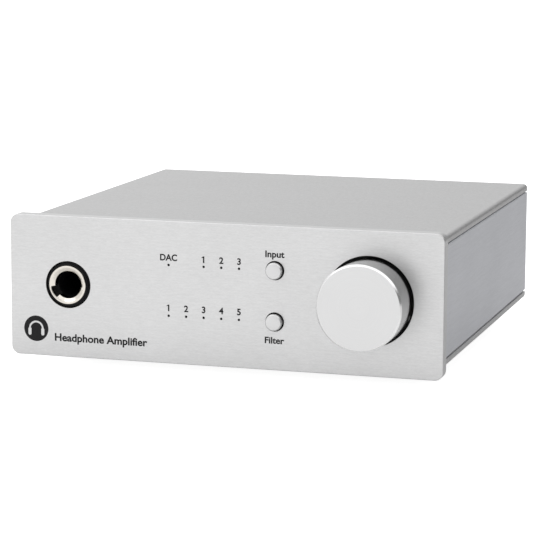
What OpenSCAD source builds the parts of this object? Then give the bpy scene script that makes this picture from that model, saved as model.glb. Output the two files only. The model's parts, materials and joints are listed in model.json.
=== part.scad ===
// Desktop headphone amplifier and digital-to-analogue converter in a slim extruded aluminium case.
// Millimetres, +Z up, the front faces -Y. The origin is the middle of the underside of the bounding box.
// Everything is drawn in the "face frame": y = 0 is the front face of the fascia, z = 0 its bottom edge.

/* [Fascia] */
// Width of the fascia
panel_w = 103; // [85:1:150]
// Height of the fascia
panel_h = 33; // [33:1:45]
// Thickness of the fascia
panel_t = 3; // [2.5:0.5:4]
// Radius of the fascia's corners
panel_corner_r = 2; // [1:0.5:4]
// Chamfer round the front edge of the fascia
panel_chamfer = 0.2; // [0.1:0.05:0.4]
// How far the fascia stands out past each side of the case
reveal_x = 1.25; // [0.5:0.25:3]
// How far the fascia stands out past the top and the underside of the case
reveal_z = 1.5; // [0.5:0.25:3]

/* [Case] */
// Depth of the case behind the fascia
case_d = 100.3; // [83:1:160]
// Thickness of the top and bottom covers
cover_t = 1.4; // [1:0.1:1.7]
// Outer edge radius of the covers
cover_edge_r = 1; // [0.5:0.1:1.5]
// Thickness of the lip down each long edge of a cover
lip_t = 1.2; // [0.8:0.1:1.6]
// Distance from the outside of a cover to the middle of its seam
seam_z = 1.9; // [1.7:0.1:3]
// Width of the seam between a cover and a side wall
seam_gap = 0.35; // [0.2:0.05:0.6]
// Thickness of the side walls
wall_t = 1.8; // [1.4:0.1:2.4]
// Chamfer along the long outer edges of the side walls
wall_chamfer = 0.2; // [0.1:0.05:0.4]
// Thickness of the rail that a cover hooks under
shelf_t = 1.2; // [1:0.1:2]
// Width of that rail, from the outside of the case
shelf_u = 5.2; // [4.5:0.1:6]
// Thickness of the covers' hooks
hook_t = 1; // [0.8:0.1:1.4]
// How far a hook reaches under its rail
hook_reach = 1.1; // [0.6:0.1:2]
// Radius of the screw channels' outside
channel_r = 2.1; // [1.9:0.1:2.2]
// Thickness of the front plate and the rear panel
plate_t = 1.5; // [1:0.1:2]

/* [Controls] */
// Height of the row of controls above the bottom edge of the fascia
control_z = 17; // [16.5:0.5:22]
// Distance from the left edge of the fascia to the headphone jack
jack_inset = 14.2; // [13:0.1:20]
// Distance from the right edge of the fascia to the knob
knob_inset = 17.15; // [15:0.05:20]
// Distance from the middle of the fascia to the buttons
button_x = 12.5; // [11:0.1:16]
// Height of each button row above or below the row of controls
button_dz = 5.87; // [5:0.01:7]
// Distance from the middle of the fascia to the last indicator of each row
indicator_x = 4.07; // [2:0.01:6]
// Distance between two indicators
indicator_pitch = 4.2; // [3:0.1:4.5]
// Radius of the indicator holes
indicator_r = 0.3; // [0.25:0.05:0.6]

/* [Knob] */
// Radius of the knob
knob_r = 9.78; // [9:0.01:12]
// How far the knob stands out of the fascia
knob_out = 9.3; // [6:0.1:14]
// How far the knob reaches into the fascia
knob_in = 2; // [1:0.1:2.4]
// Gap between the knob and the hole that it sits in
knob_gap = 0.5; // [0.2:0.01:1]
// Polished chamfer round the front of the knob
knob_chamfer = 0.4; // [0.1:0.05:1]
// Radius of the potentiometer's shaft
shaft_r = 3; // [2.5:0.1:3.2]
// Radius of the potentiometer's threaded bushing
bushing_r = 4.5; // [4.2:0.1:4.8]
// Width and height of the potentiometer's body
pot_w = 17; // [15:0.5:17]
// Depth of the potentiometer's body
pot_d = 9; // [8:0.5:12]

/* [Buttons] */
// Radius of the buttons
button_r = 1.93; // [1.5:0.01:2.4]
// How far the buttons stand out of the fascia
button_out = 1.3; // [0.8:0.1:3]
// Gap between a button and its hole
button_gap = 0.22; // [0.1:0.01:0.4]
// Travel of the buttons
button_travel = 0.5; // [0.2:0.1:0.8]
// Side of the square switches behind the buttons
switch_w = 6; // [5:0.5:7]

/* [Headphone jack] */
// Radius of the bore that takes the headphone plug
jack_bore_r = 3.2; // [3.18:0.01:3.4]
// Outer radius of the metal ferrule
ferrule_r = 4.48; // [4.2:0.01:5]
// How far the ferrule stands out of the fascia
ferrule_out = 0.55; // [0.2:0.05:1]
// Outer radius of the jack's nose
nose_r = 5.2; // [5:0.1:6]
// Gap between the nose and its hole
nose_gap = 0.25; // [0.1:0.05:0.4]
// Width of the jack's housing
jack_w = 11; // [10.6:0.1:11.2]
// Depth of the jack's housing behind the front plate
jack_d = 28; // [24:1:30]

/* [Rear sockets] */
// Distance from the screw channels to the middle of the first and the last socket
socket_inset = 5.8; // [5.7:0.1:8]
// How far the phono sockets stand out of the rear panel
phono_out = 9.4; // [8:0.1:12]
// Outer radius of the phono sockets
phono_r = 4.15; // [4.1:0.01:4.2]
// Radius of the phono sockets' centre hole
phono_pin_r = 1.6; // [1.55:0.01:1.7]
// Width of the USB socket
usb_w = 12; // [11.5:0.1:12.2]
// Height of the USB socket
usb_h = 10.8; // [10.5:0.1:11.2]
// Side of the optical socket's body
optical_w = 10; // [9.7:0.1:10.5]
// Side of the optical socket's opening
optical_hole_w = 8; // [7.6:0.1:8.2]
// Thickness of the optical socket's shutter
shutter_t = 0.8; // [0.6:0.1:1.2]
// Width of the power inlet
inlet_w = 9; // [8.8:0.1:10]
// Radius of the power inlet's hole
inlet_hole_r = 3.1; // [2.9:0.05:3.3]
// Radius of the power inlet's centre pin
inlet_pin_r = 1; // [0.9:0.05:1.25]

/* [Circuit boards] */
// Thickness of both circuit boards
board_t = 1.6; // [1.2:0.1:2]
// Gap between the front plate and the main board
board_front_gap = 2.5; // [2:0.1:4]
// Distance from the front face of the fascia to the front board
front_board_y = 10; // [10:0.1:12]

/* [Feet] */
// Radius of the feet
foot_r = 6; // [4.5:0.5:7.5]
// How far the feet reach below the fascia
foot_drop = 4; // [2:0.5:8]
// Distance from the side of the case to the feet
foot_inset_x = 13; // [12:0.5:20]
// Distance from the front face of the fascia to the front feet, and from the back to the rear feet
foot_inset_y = 25; // [14:0.5:30]

/* [Hidden] */

$fn = 64;
clearance = 0.1; // between fixed pieces that slide past each other in assembly
running = 0.05; // radial clearance of a turning shaft
bite = 1; // how far a cutting tool runs past the surface that it cuts

// Case outline
case_w = panel_w - 2 * reveal_x;
case_h = panel_h - 2 * reveal_z;
case_z = reveal_z;
case_y = panel_t;
back_y = case_y + case_d;
total_d = knob_out + back_y + phono_out;
front_y = knob_out - total_d / 2;
lip_h = seam_z - seam_gap / 2;
shelf_z = cover_t + clearance;
plate_w = case_w - 2 * (wall_t + clearance);
plate_h = case_h - 2 * shelf_z;
plate_back_y = case_y + plate_t;
rear_plate_y = back_y - plate_t;

// Fasteners
screw_r = 1.25;
thread_hole_r = 1.25;
screw_hole_r = 1.4;
head_r = 2.2;
head_h = 1.5;
drive_w = 0.6; // width of a screw's cross recess
drive_l = 2.4; // length of a screw's cross recess
drive_h = 0.8; // depth of a screw's cross recess
channel_screw_l = 6;
fascia_screw_depth = 2;

// The screw channels inside the side profiles, far enough in for the screws' heads to pass the walls
channel_u = wall_t + head_r + 0.7;
channel_x = case_w / 2 - channel_u;
channel_low_z = case_z + 10.5;
channel_high_z = case_z + case_h - 7.5;

// Controls
jack_x = jack_inset - panel_w / 2;
knob_x = panel_w / 2 - knob_inset;
knob_hole_r = knob_r + knob_gap;
button_hole_r = button_r + button_gap;
pipe_r = 1;
pipe_gap = 0.1;
pipe_nib_gap = 0.03;
pipe_nib_l = 0.8; // length of the narrow hole in the front of the fascia
pipe_recess = 0.12; // how far the pipes' tips lie behind the front face
input_columns = [2, 3, 4];
filter_columns = [0, 1, 2, 3, 4];
lock_column = 0;
column_x = [for (i = [0:4]) indicator_x - (4 - i) * indicator_pitch];
fascia_screw_low_z = case_z + cover_t + clearance + head_r;
fascia_screw_z = [fascia_screw_low_z, panel_h - fascia_screw_low_z];
fascia_screw_x = [(button_x + knob_x - pot_w / 2 + 3) / 2, (jack_x + jack_w / 2 - 19) / 2];

// Knob and potentiometer
knob_pocket_r = knob_r - 1.6;
knob_web_y = -1.5; // floor of the pocket in the back of the knob
knob_bore_end = 2.3; // metal left in front of the shaft
knob_fit = 0.02;
washer_t = 0.4;
washer_r = bushing_r + 1.5;
nut_t = 2;
nut_r = (bushing_r + 1.5) / cos(30); // across the corners
bushing_front = washer_t + nut_t + 0.4;
rotor_r = pot_w / 2 - 1.9;
rotor_t = 2.5;
pot_wall = 2;
pot_back_t = 1;
grub_r = 1.5;
grub_l = 4.5;
grub_y = -4.6;
shaft_flat = 0.6;

// Buttons
flange_r = button_hole_r + 0.75;
flange_t = 0.8;
button_flange_y = plate_back_y + clearance;
stem_r = 1.2;
plunger_r = 1.6;
switch_d = 3;
switch_front_y = front_board_y - switch_d;
plunger_proud = 0.55;
plunger_l = 1.5;
led_d = 0.6;
pipe_end_y = front_board_y - led_d - clearance;

// The top of the main board, which passes under the lowest switch and the potentiometer
board_top_z = control_z - max(pot_w / 2, button_dz + switch_w / 2) - clearance;

// Headphone jack
nose_step_r = nose_r - 0.35;
nose_recess = 0.45;
ferrule_back = 2;
ferrule_rim = 0.26;
ferrule_cone = 0.6; // depth of the cone that guides the plug in
ferrule_slot_a = 187; // where the ferrule's cone and bore are slotted, seen from the front
ferrule_slot_b = 229;
ferrule_slot_r = 4;
jack_top = 6.8;
jack_end_wall = 2;
jack_bore_end = plate_back_y + jack_d - jack_end_wall;
contact_w = 1.8;
contact_t = 0.4;
contact_y = [10, 19, 27];
contact_l = 4;

// Rear sockets, from the left as seen from the front: power, USB, optical, coaxial, line out right and left
first_socket_x = channel_r + socket_inset - channel_x;
socket_pitch = -2 * first_socket_x / 5;
socket_x = [for (i = [0:5]) first_socket_x + i * socket_pitch];
inlet_x = socket_x[0];
usb_x = socket_x[1];
optical_x = socket_x[2];
phono_x = [socket_x[3], socket_x[4], socket_x[5]];
phono_z = board_top_z + 8.6;
phono_flange_r = phono_r + 1.05;
phono_flange_t = 0.8;
phono_neck_r = phono_r + 0.35;
phono_bore_r = phono_r - 0.85;
phono_pin_l = 7;
phono_block_w = 10.6;
phono_block_d = 9;
phono_contact_r = phono_pin_r + 0.4;
socket_gap = 0.2;
usb_out = 0.6;
usb_d = 16;
usb_wall = 0.5;
usb_tongue_w = 5.6;
usb_tongue_h = 3.2;
usb_mouth_w = 8.45;
usb_mouth_h = 7.8;
optical_out = 1;
optical_d = 13;
optical_depth = 9.5;
receiver_w = 3.4;
receiver_y = rear_plate_y - optical_d + 1;
optical_z = board_top_z + optical_w / 2;
shutter_pin_r = 0.45;
shutter_knuckle_r = 0.9;
shutter_gap = 0.15;
shutter_y = back_y + optical_out - 2.2; // axis of the shutter's pin
shutter_z = optical_z + optical_hole_w / 2 - shutter_knuckle_r - shutter_gap;
shutter_pin_reach = 0.7; // how far the pin's ends sit in the housing
inlet_out = 0.8;
inlet_d = 14;
inlet_h = 11;
inlet_z = board_top_z + inlet_h / 2;
inlet_nose_r = inlet_w / 2 - 0.2;
inlet_depth = 9;

// Boards
board_front_y = plate_back_y + board_front_gap;
board_back_y = rear_plate_y - 0.5;
board_w = case_w - 2 * (wall_t + clearance);
rail_u = 3.2;
rail_t = 1;
front_board_x0 = column_x[0] - 5.5;
front_board_x1 = button_x + 4;
front_board_top = board_top_z + 20;
header_x0 = front_board_x0 + 4;
header_x1 = front_board_x1 - 4;

// The middle of the free part of the main board, between the jack and the sockets
parts_y = (plate_back_y + jack_d + rear_plate_y - usb_d) / 2;

foot_hole_r = 1.8;
foot_head_r = 3.2;
foot_head_z = 3.6; // depth of the recess for the screw's head
foot_bevel = 0.8;
foot_h = foot_drop + case_z;
foot_x = case_w / 2 - foot_inset_x;
foot_ys = [foot_inset_y, back_y - foot_inset_y];

silver = [0.80, 0.80, 0.81];
satin = [0.74, 0.74, 0.75];
nickel = [0.78, 0.76, 0.72];
brass = [0.80, 0.66, 0.30];
black = [0.07, 0.07, 0.075];
steel = [0.55, 0.55, 0.57];
board_green = [0.05, 0.24, 0.13];

// ---------- Tools ----------

// Moves what is drawn in the face frame to the part's own frame.
module placed() {
    translate([0, front_y, foot_drop]) children();
}

// A flat XZ outline extruded backwards from y0 to y1.
module back_from(y0, y1) {
    translate([0, y1, 0]) rotate([90, 0, 0]) linear_extrude(y1 - y0) children();
}

// A cylinder along Y from y0 to y1.
module rod(x, z, y0, y1, r) {
    translate([x, y1, z]) rotate([90, 0, 0]) cylinder(h = y1 - y0, r = r);
}

// A solid of revolution about the Y axis, from a list of [radius, y] points.
module turned(x, z, points) {
    translate([x, 0, z]) rotate([-90, 0, 0]) rotate_extrude() polygon(points);
}

// A box from one corner to the opposite one.
module block(a, b) {
    translate(a) cube(b - a);
}

// A box from y0 back to y1, centred on x, w wide, and h high from z up.
module slab(x, z, w, h, y0, y1) {
    translate([x - w / 2, y0, z]) cube([w, y1 - y0, h]);
}

// A box that stands on the main board, centred on x and y.
module on_board(x, y, size) {
    translate([x - size.x / 2, y - size.y / 2, board_top_z]) cube(size);
}

// A cylinder that stands on the main board.
module can_on_board(x, y, r, h) {
    translate([x, y, board_top_z]) cylinder(h = h, r = r);
}

// A plate with round corners and a chamfer round its front face, standing in the XZ plane.
module soft_plate(w, h, t, r, c) {
    side = [[-w / 2, t], [w / 2, t], [w / 2, c], [w / 2 - c, 0], [c - w / 2, 0], [-w / 2, c]];
    edge = [[t, 0], [t, h], [c, h], [0, h - c], [0, c], [c, 0]];
    translate([0, 0, r]) linear_extrude(h - 2 * r) polygon(side);
    translate([r - w / 2, 0, 0]) rotate([90, 0, 90]) linear_extrude(w - 2 * r) polygon(edge);
    for (x = [r - w / 2, w / 2 - r], z = [r, h - r])
        turned(x, z, [[0, 0], [r - c, 0], [r, c], [r, t], [0, t]]);
}

// A pan-head screw along Y: its head ends at y and its thread runs in the direction of way, 1 or -1.
module pan_screw(x, z, y, way, l) {
    translate([x, y, z]) rotate([-90 * way, 0, 0]) difference() {
        union() {
            translate([0, 0, -head_h]) cylinder(h = head_h, r = head_r);
            cylinder(h = l, r = screw_r);
        }
        cross_recess(-head_h);
    }
}

// The cross recess in the top of a screw's head, whose top is at z.
module cross_recess(z) {
    for (a = [0, 90]) rotate(a)
        translate([-drive_l / 2, -drive_w / 2, z - bite]) cube([drive_l, drive_w, drive_h + bite]);
}

// A countersunk screw along Y, flush at y, with its thread towards +Y.
module flush_screw(x, z, y, l) {
    difference() {
        turned(x, z, [[0, y], [head_r, y], [screw_r, y + head_r - screw_r], [screw_r, y + l], [0, y + l]]);
        translate([x, y, z]) rotate([-90, 0, 0]) cross_recess(0);
    }
}

// ---------- Case ----------

// The outline of a cover, with z = 0 at its outer face and the case towards -z.
module cover_section() {
    difference() {
        union() {
            edge_x = case_w / 2 - cover_edge_r;
            translate([-case_w / 2, -lip_h]) square([case_w, lip_h - cover_edge_r]);
            translate([-edge_x, -lip_h]) square([2 * edge_x, lip_h]);
            for (s = [-1, 1]) translate([s * edge_x, -cover_edge_r]) circle(cover_edge_r);
        }
        translate([lip_t - case_w / 2, -lip_h - bite])
            square([case_w - 2 * lip_t, lip_h - cover_t + bite]);
    }
}

// The pair of hooks on a cover, in the cover's outline frame.
module hook_section() {
    web_u = shelf_u + clearance;
    hook_z = shelf_z + shelf_t + clearance;
    for (s = [-1, 1]) scale([s, 1]) {
        translate([case_w / 2 - web_u - hook_t, -hook_z - hook_t])
            square([hook_t, hook_z + hook_t - cover_t + clearance]);
        translate([case_w / 2 - web_u - hook_t, -hook_z - hook_t]) square([hook_t + hook_reach, hook_t]);
    }
}

// One cover, with its outer face up.
module cover() {
    back_from(case_y, back_y) cover_section();
    back_from(case_y + plate_t + clearance, back_y - plate_t - clearance) hook_section();
}

module top_cover() {
    color(satin) placed() translate([0, 0, case_z + case_h]) cover();
}

module bottom_cover() {
    color(satin) placed() difference() {
        translate([0, 0, case_z]) mirror([0, 0, 1]) cover();
        for (s = [-1, 1], y = foot_ys)
            translate([s * foot_x, y, case_z - bite]) cylinder(h = cover_t + 2 * bite, r = thread_hole_r);
    }
}

// The outer wall of a side profile: u runs inwards from the outside of the case, z up from its underside.
module wall_section() {
    z0 = seam_z + seam_gap / 2;
    z1 = case_h - z0;
    polygon([[0, z0 + wall_chamfer], [wall_chamfer, z0], [wall_t, z0], [wall_t, z1], [wall_chamfer, z1],
        [0, z1 - wall_chamfer]]);
}

// The rails, board slot and screw channels inside a side profile.
module inside_section() {
    shelf_u0 = lip_t + 0.15;
    board_z = board_top_z - case_z;
    for (z = [shelf_z, case_h - shelf_z - shelf_t])
        translate([shelf_u0, z]) square([shelf_u - shelf_u0, shelf_t]);
    for (z = [board_z + clearance, board_z - board_t - clearance - rail_t])
        translate([wall_t / 2, z]) square([rail_u - wall_t / 2, rail_t]);
    for (z = [channel_low_z - case_z, channel_high_z - case_z]) translate([channel_u, z]) difference() {
        union() {
            circle(channel_r);
            translate([wall_t / 2 - channel_u, -channel_r]) square([channel_u - wall_t / 2, 2 * channel_r]);
        }
        circle(thread_hole_r);
    }
}

// The right-hand side profile, drawn from its outer face inwards.
module side_profile() {
    placed() translate([case_w / 2, 0, case_z]) mirror([1, 0, 0]) {
        back_from(case_y, back_y) wall_section();
        back_from(case_y + plate_t + clearance, back_y - plate_t - clearance) inside_section();
    }
}

module right_side_profile() {
    color(satin) side_profile();
}

module left_side_profile() {
    color(satin) mirror([1, 0, 0]) side_profile();
}

// The four places where an end plate is screwed to the side profiles.
module at_channels() {
    for (s = [-1, 1], z = [channel_low_z, channel_high_z]) translate([s * channel_x, 0, z]) children();
}

// The blank of the front plate and the rear panel.
module end_plate(y) {
    translate([-plate_w / 2, y, case_z + shelf_z]) cube([plate_w, plate_t, plate_h]);
}

module front_plate() {
    y0 = case_y - bite;
    y1 = plate_back_y + bite;
    sink_r = head_r + clearance;
    color(black) placed() difference() {
        end_plate(case_y);
        at_channels() turned(0, 0, [
            [0, y0], [sink_r + bite, y0], [screw_hole_r, case_y + sink_r - screw_hole_r],
            [screw_hole_r, y1], [0, y1]
        ]);
        for (x = fascia_screw_x, z = fascia_screw_z) rod(x, z, y0, y1, screw_hole_r);
        rod(jack_x, control_z, y0, y1, nose_r + nose_gap);
        rod(knob_x, control_z, y0, y1, bushing_r + clearance);
        for (s = [-1, 1]) rod(button_x, control_z + s * button_dz, y0, y1, button_hole_r);
        at_indicators() rod(0, 0, y0, y1, pipe_r + pipe_gap);
    }
}

module rear_panel() {
    y0 = rear_plate_y - bite;
    y1 = back_y + bite;
    hole_z = board_top_z - socket_gap;
    color(satin) placed() difference() {
        end_plate(rear_plate_y);
        at_channels() rod(0, 0, y0, y1, screw_hole_r);
        for (x = phono_x) rod(x, phono_z, y0, y1, phono_neck_r + socket_gap);
        slab(usb_x, hole_z, usb_w + 2 * socket_gap, usb_h + 2 * socket_gap, y0, y1);
        slab(optical_x, hole_z, optical_w + 2 * socket_gap, optical_w + 2 * socket_gap, y0, y1);
        rod(inlet_x, inlet_z, y0, y1, inlet_nose_r + socket_gap);
    }
}

module front_plate_screws() {
    color(steel) placed() at_channels() flush_screw(0, 0, case_y, channel_screw_l);
}

module rear_panel_screws() {
    color(black) placed() at_channels() pan_screw(0, 0, back_y, -1, channel_screw_l);
}

// Screws from inside the front plate into blind threads in the back of the fascia.
module fascia_screws() {
    color(steel) placed() for (x = fascia_screw_x, z = fascia_screw_z)
        pan_screw(x, z, plate_back_y, -1, plate_t + fascia_screw_depth - clearance);
}

module rubber_feet() {
    color(black) placed() for (s = [-1, 1], y = foot_ys) translate([s * foot_x, y, -foot_drop])
        rotate_extrude() polygon([
            [foot_head_r, 0], [foot_r - foot_bevel, 0], [foot_r, foot_bevel], [foot_r, foot_h],
            [foot_hole_r, foot_h], [foot_hole_r, foot_head_z], [foot_head_r, foot_head_z]
        ]);
}

module foot_screws() {
    color(steel) placed() for (s = [-1, 1], y = foot_ys)
        translate([s * foot_x, y, foot_head_z - foot_drop]) difference() {
            union() {
                translate([0, 0, -head_h]) cylinder(h = head_h, r = head_r);
                cylinder(h = foot_h - foot_head_z + cover_t, r = screw_r);
            }
            cross_recess(-head_h);
        }
}

// ---------- Fascia ----------

// The nine indicators: one lock lamp and three input lamps above, five filter lamps below.
module at_indicators() {
    for (i = filter_columns) translate([column_x[i], 0, control_z - button_dz]) children();
    for (i = [lock_column, each input_columns]) translate([column_x[i], 0, control_z + button_dz]) children();
}

module front_panel() {
    color(silver) placed() difference() {
        soft_plate(panel_w, panel_h, panel_t, panel_corner_r, panel_chamfer);
        rod(jack_x, control_z, -bite, panel_t + bite, nose_r + nose_gap);
        rod(knob_x, control_z, -bite, panel_t + bite, knob_hole_r);
        for (s = [-1, 1]) rod(button_x, control_z + s * button_dz, -bite, panel_t + bite, button_hole_r);
        at_indicators() {
            rod(0, 0, -bite, pipe_nib_l + bite, indicator_r);
            rod(0, 0, pipe_nib_l, panel_t + bite, pipe_r + pipe_gap);
        }
        for (x = fascia_screw_x, z = fascia_screw_z)
            rod(x, z, panel_t - fascia_screw_depth, panel_t + bite, thread_hole_r);
    }
}

module indicator_light_pipes() {
    color([0.85, 0.87, 0.88]) placed() at_indicators() turned(0, 0, [
        [0, pipe_recess], [indicator_r - pipe_nib_gap, pipe_recess],
        [indicator_r - pipe_nib_gap, pipe_nib_l], [pipe_r, pipe_nib_l],
        [pipe_r, pipe_end_y], [0, pipe_end_y]
    ]);
}

module indicator_leds() {
    led_w = 1.6;
    led_h = 0.8;
    color([0.93, 0.92, 0.85]) placed() at_indicators()
        translate([-led_w / 2, front_board_y - led_d, -led_h / 2]) cube([led_w, led_d, led_h]);
}

// ---------- Volume control ----------

module volume_knob() {
    r = knob_r;
    c = knob_chamfer;
    bore_r = shaft_r + knob_fit;
    color(silver) placed() difference() {
        turned(knob_x, control_z, [
            [0, -knob_out], [r - c, -knob_out], [r, c - knob_out], [r, knob_in], [knob_pocket_r, knob_in],
            [knob_pocket_r, knob_web_y], [bore_r, knob_web_y], [bore_r, knob_bore_end - knob_out],
            [0, knob_bore_end - knob_out]
        ]);
        translate([knob_x, grub_y, control_z - knob_r - bite]) cylinder(h = knob_r + bite, r = grub_r);
    }
}

module knob_grub_screw() {
    grub_z = control_z - shaft_r + shaft_flat - grub_l;
    color(steel) placed() translate([knob_x, grub_y, grub_z]) difference() {
        cylinder(h = grub_l, r = grub_r - knob_fit);
        translate([0, 0, -bite]) cylinder(h = 1.5 + bite, r = 0.8, $fn = 6);
    }
}

module potentiometer_shaft() {
    tip = knob_bore_end - knob_out + clearance;
    rotor_y = plate_back_y + pot_wall + clearance;
    color(steel) placed() difference() {
        turned(knob_x, control_z, [
            [0, tip], [shaft_r - 0.3, tip], [shaft_r, tip + 0.3], [shaft_r, rotor_y], [rotor_r, rotor_y],
            [rotor_r, rotor_y + rotor_t], [0, rotor_y + rotor_t]
        ]);
        block([knob_x - shaft_r - bite, tip - bite, control_z - shaft_r - bite],
            [knob_x + shaft_r + bite, knob_web_y, control_z - shaft_r + shaft_flat]);
    }
}

module potentiometer_bushing() {
    y0 = case_y - bushing_front;
    color(nickel) placed() turned(knob_x, control_z, [
        [shaft_r + running, y0], [bushing_r - 0.2, y0], [bushing_r, y0 + 0.2], [bushing_r, plate_back_y],
        [bushing_r - 0.5, plate_back_y], [bushing_r - 0.5, plate_back_y + pot_wall],
        [shaft_r + running, plate_back_y + pot_wall]
    ]);
}

module potentiometer_washer() {
    color(nickel) placed() turned(knob_x, control_z, [
        [bushing_r + running, case_y - washer_t], [washer_r, case_y - washer_t],
        [washer_r, case_y], [bushing_r + running, case_y]
    ]);
}

module potentiometer_nut() {
    y1 = case_y - washer_t;
    color(nickel) placed() difference() {
        translate([knob_x, y1, control_z]) rotate([90, 0, 0]) cylinder(h = nut_t, r = nut_r, $fn = 6);
        rod(knob_x, control_z, y1 - nut_t - bite, y1 + bite, bushing_r);
    }
}

module potentiometer_body() {
    y1 = plate_back_y + pot_d;
    color([0.2, 0.33, 0.24]) placed() difference() {
        slab(knob_x, control_z - pot_w / 2, pot_w, pot_w, plate_back_y, y1);
        rod(knob_x, control_z, plate_back_y - bite, y1, bushing_r - 0.5);
        rod(knob_x, control_z, plate_back_y + pot_wall, y1 + bite, rotor_r + clearance);
    }
}

module potentiometer_back() {
    y0 = plate_back_y + pot_d;
    color(nickel) placed() slab(knob_x, control_z - pot_w / 2, pot_w, pot_w, y0, y0 + pot_back_t);
}

// ---------- Buttons ----------

// A button's cap, with the flange behind the front plate that keeps it in.
module button_cap(z) {
    c = 0.25;
    end_y = switch_front_y - plunger_proud;
    turned(button_x, z, [
        [0, -button_out], [button_r - c, -button_out], [button_r, c - button_out],
        [button_r, button_flange_y], [flange_r, button_flange_y], [flange_r, button_flange_y + flange_t],
        [stem_r, button_flange_y + flange_t], [stem_r, end_y], [0, end_y]
    ]);
}

module switch_plunger(z) {
    rod(button_x, z, switch_front_y - plunger_proud, switch_front_y - plunger_proud + plunger_l, plunger_r);
}

module switch_body(z) {
    depth = plunger_l - plunger_proud + button_travel + clearance;
    difference() {
        slab(button_x, z - switch_w / 2, switch_w, switch_w, switch_front_y, front_board_y);
        rod(button_x, z, switch_front_y - bite, switch_front_y + depth, plunger_r + clearance);
    }
}

module input_button() {
    color(silver) placed() button_cap(control_z + button_dz);
}

module filter_button() {
    color(silver) placed() button_cap(control_z - button_dz);
}

module input_switch_plunger() {
    color([0.9, 0.9, 0.88]) placed() switch_plunger(control_z + button_dz);
}

module filter_switch_plunger() {
    color([0.9, 0.9, 0.88]) placed() switch_plunger(control_z - button_dz);
}

module input_switch_body() {
    color(black) placed() switch_body(control_z + button_dz);
}

module filter_switch_body() {
    color(black) placed() switch_body(control_z - button_dz);
}

// ---------- Headphone jack ----------

// A sector of a ring about the Y axis, from angle a to angle b in degrees, seen from the front.
module sector(x, z, y0, y1, r, a, b) {
    far = 2 * r;
    translate([x, y1, z]) rotate([90, 0, 0]) linear_extrude(y1 - y0) intersection() {
        circle(r);
        polygon([[0, 0], [far * cos(a), far * sin(a)], [far * cos(b), far * sin(b)]]);
    }
}

module headphone_jack_housing() {
    y1 = plate_back_y + jack_d;
    slot_z = control_z + jack_bore_r - 0.3;
    color(black) placed() difference() {
        union() {
            turned(jack_x, control_z, [
                [0, 0], [nose_step_r, 0], [nose_step_r, nose_recess], [nose_r, nose_recess],
                [nose_r, plate_back_y + bite], [0, plate_back_y + bite]
            ]);
            slab(jack_x, board_top_z, jack_w, control_z + jack_top - board_top_z, plate_back_y, y1);
        }
        rod(jack_x, control_z, -bite, jack_bore_end, jack_bore_r);
        rod(jack_x, control_z, -bite, ferrule_back, ferrule_r);
        for (y = contact_y)
            slab(jack_x, slot_z, contact_w + 2 * clearance, jack_top, y, y + contact_l);
    }
}

// The metal mouth of the jack: a rim, a cone that guides the plug in and the start of the bore.
module headphone_jack_ferrule() {
    y0 = -ferrule_out;
    y1 = ferrule_back;
    c = 0.08;
    color(nickel) placed() difference() {
        turned(jack_x, control_z, [
            [ferrule_r - ferrule_rim, y0], [ferrule_r - c, y0], [ferrule_r, y0 + c], [ferrule_r, y1],
            [jack_bore_r, y1], [jack_bore_r, y0 + ferrule_cone]
        ]);
        sector(jack_x, control_z, y0 - bite, y1 + bite, ferrule_slot_r, ferrule_slot_a, ferrule_slot_b);
    }
}

// Tip, ring and sleeve springs, each folded over the housing and down its side to the main board.
module headphone_jack_contacts() {
    strip_z = control_z + jack_bore_r + 0.1;
    top_z = control_z + jack_top;
    side_x = jack_x + jack_w / 2;
    color(brass) placed() for (y = contact_y) {
        y0 = y + clearance;
        y1 = y + contact_l - clearance;
        slab(jack_x, strip_z, contact_w, contact_t, y0, y1);
        slab(jack_x, strip_z, contact_w, top_z + contact_t - strip_z, y1 - contact_t, y1);
        block([jack_x - contact_w / 2, y1 - contact_w, top_z], [side_x + contact_t, y1, top_z + contact_t]);
        block([side_x, y1 - contact_w, board_top_z], [side_x + contact_t, y1, top_z + contact_t]);
    }
}

// ---------- Boards ----------

module front_board() {
    y1 = front_board_y + board_t;
    color(board_green) placed()
        block([front_board_x0, front_board_y, board_top_z], [front_board_x1, y1, front_board_top]);
}

module main_board() {
    color(board_green) placed()
        block([-board_w / 2, board_front_y, board_top_z - board_t], [board_w / 2, board_back_y, board_top_z]);
}

// The right-angle header that joins the two boards, with its row of pins.
module board_header() {
    y0 = front_board_y + board_t;
    pin_w = 0.64;
    pin_pitch = 2.54;
    pins = floor((header_x1 - header_x0) / pin_pitch);
    color(black) placed() {
        block([header_x0, y0, board_top_z], [header_x1, y0 + pin_pitch, board_top_z + pin_pitch]);
        for (i = [0:pins - 1]) translate([header_x0 + (i + 0.5) * pin_pitch - pin_w / 2, y0 + pin_pitch, 0])
            block([0, 0, board_top_z], [pin_w, pin_pitch, board_top_z + pin_w]);
    }
}

// ---------- Rear sockets ----------

module phono_socket_block() {
    color(black) placed() for (x = phono_x) difference() {
        slab(x, board_top_z, phono_block_w, phono_z + phono_flange_r - board_top_z,
            rear_plate_y - phono_block_d, rear_plate_y);
        rod(x, phono_z, back_y - phono_block_d, rear_plate_y + bite, phono_neck_r);
    }
}

// A phono socket's metal shell. The plug's outer ring grips the barrel.
module phono_shell(x) {
    y0 = back_y - phono_block_d;
    y1 = back_y + phono_flange_t;
    y2 = back_y + phono_out;
    turned(x, phono_z, [
        [phono_bore_r, y0], [phono_neck_r, y0], [phono_neck_r, back_y], [phono_flange_r, back_y],
        [phono_flange_r, y1], [phono_r, y1], [phono_r, y2], [phono_bore_r, y2]
    ]);
}

module coaxial_socket() {
    color(nickel) placed() phono_shell(phono_x[0]);
}

module line_out_right_socket() {
    color(nickel) placed() phono_shell(phono_x[1]);
}

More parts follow.
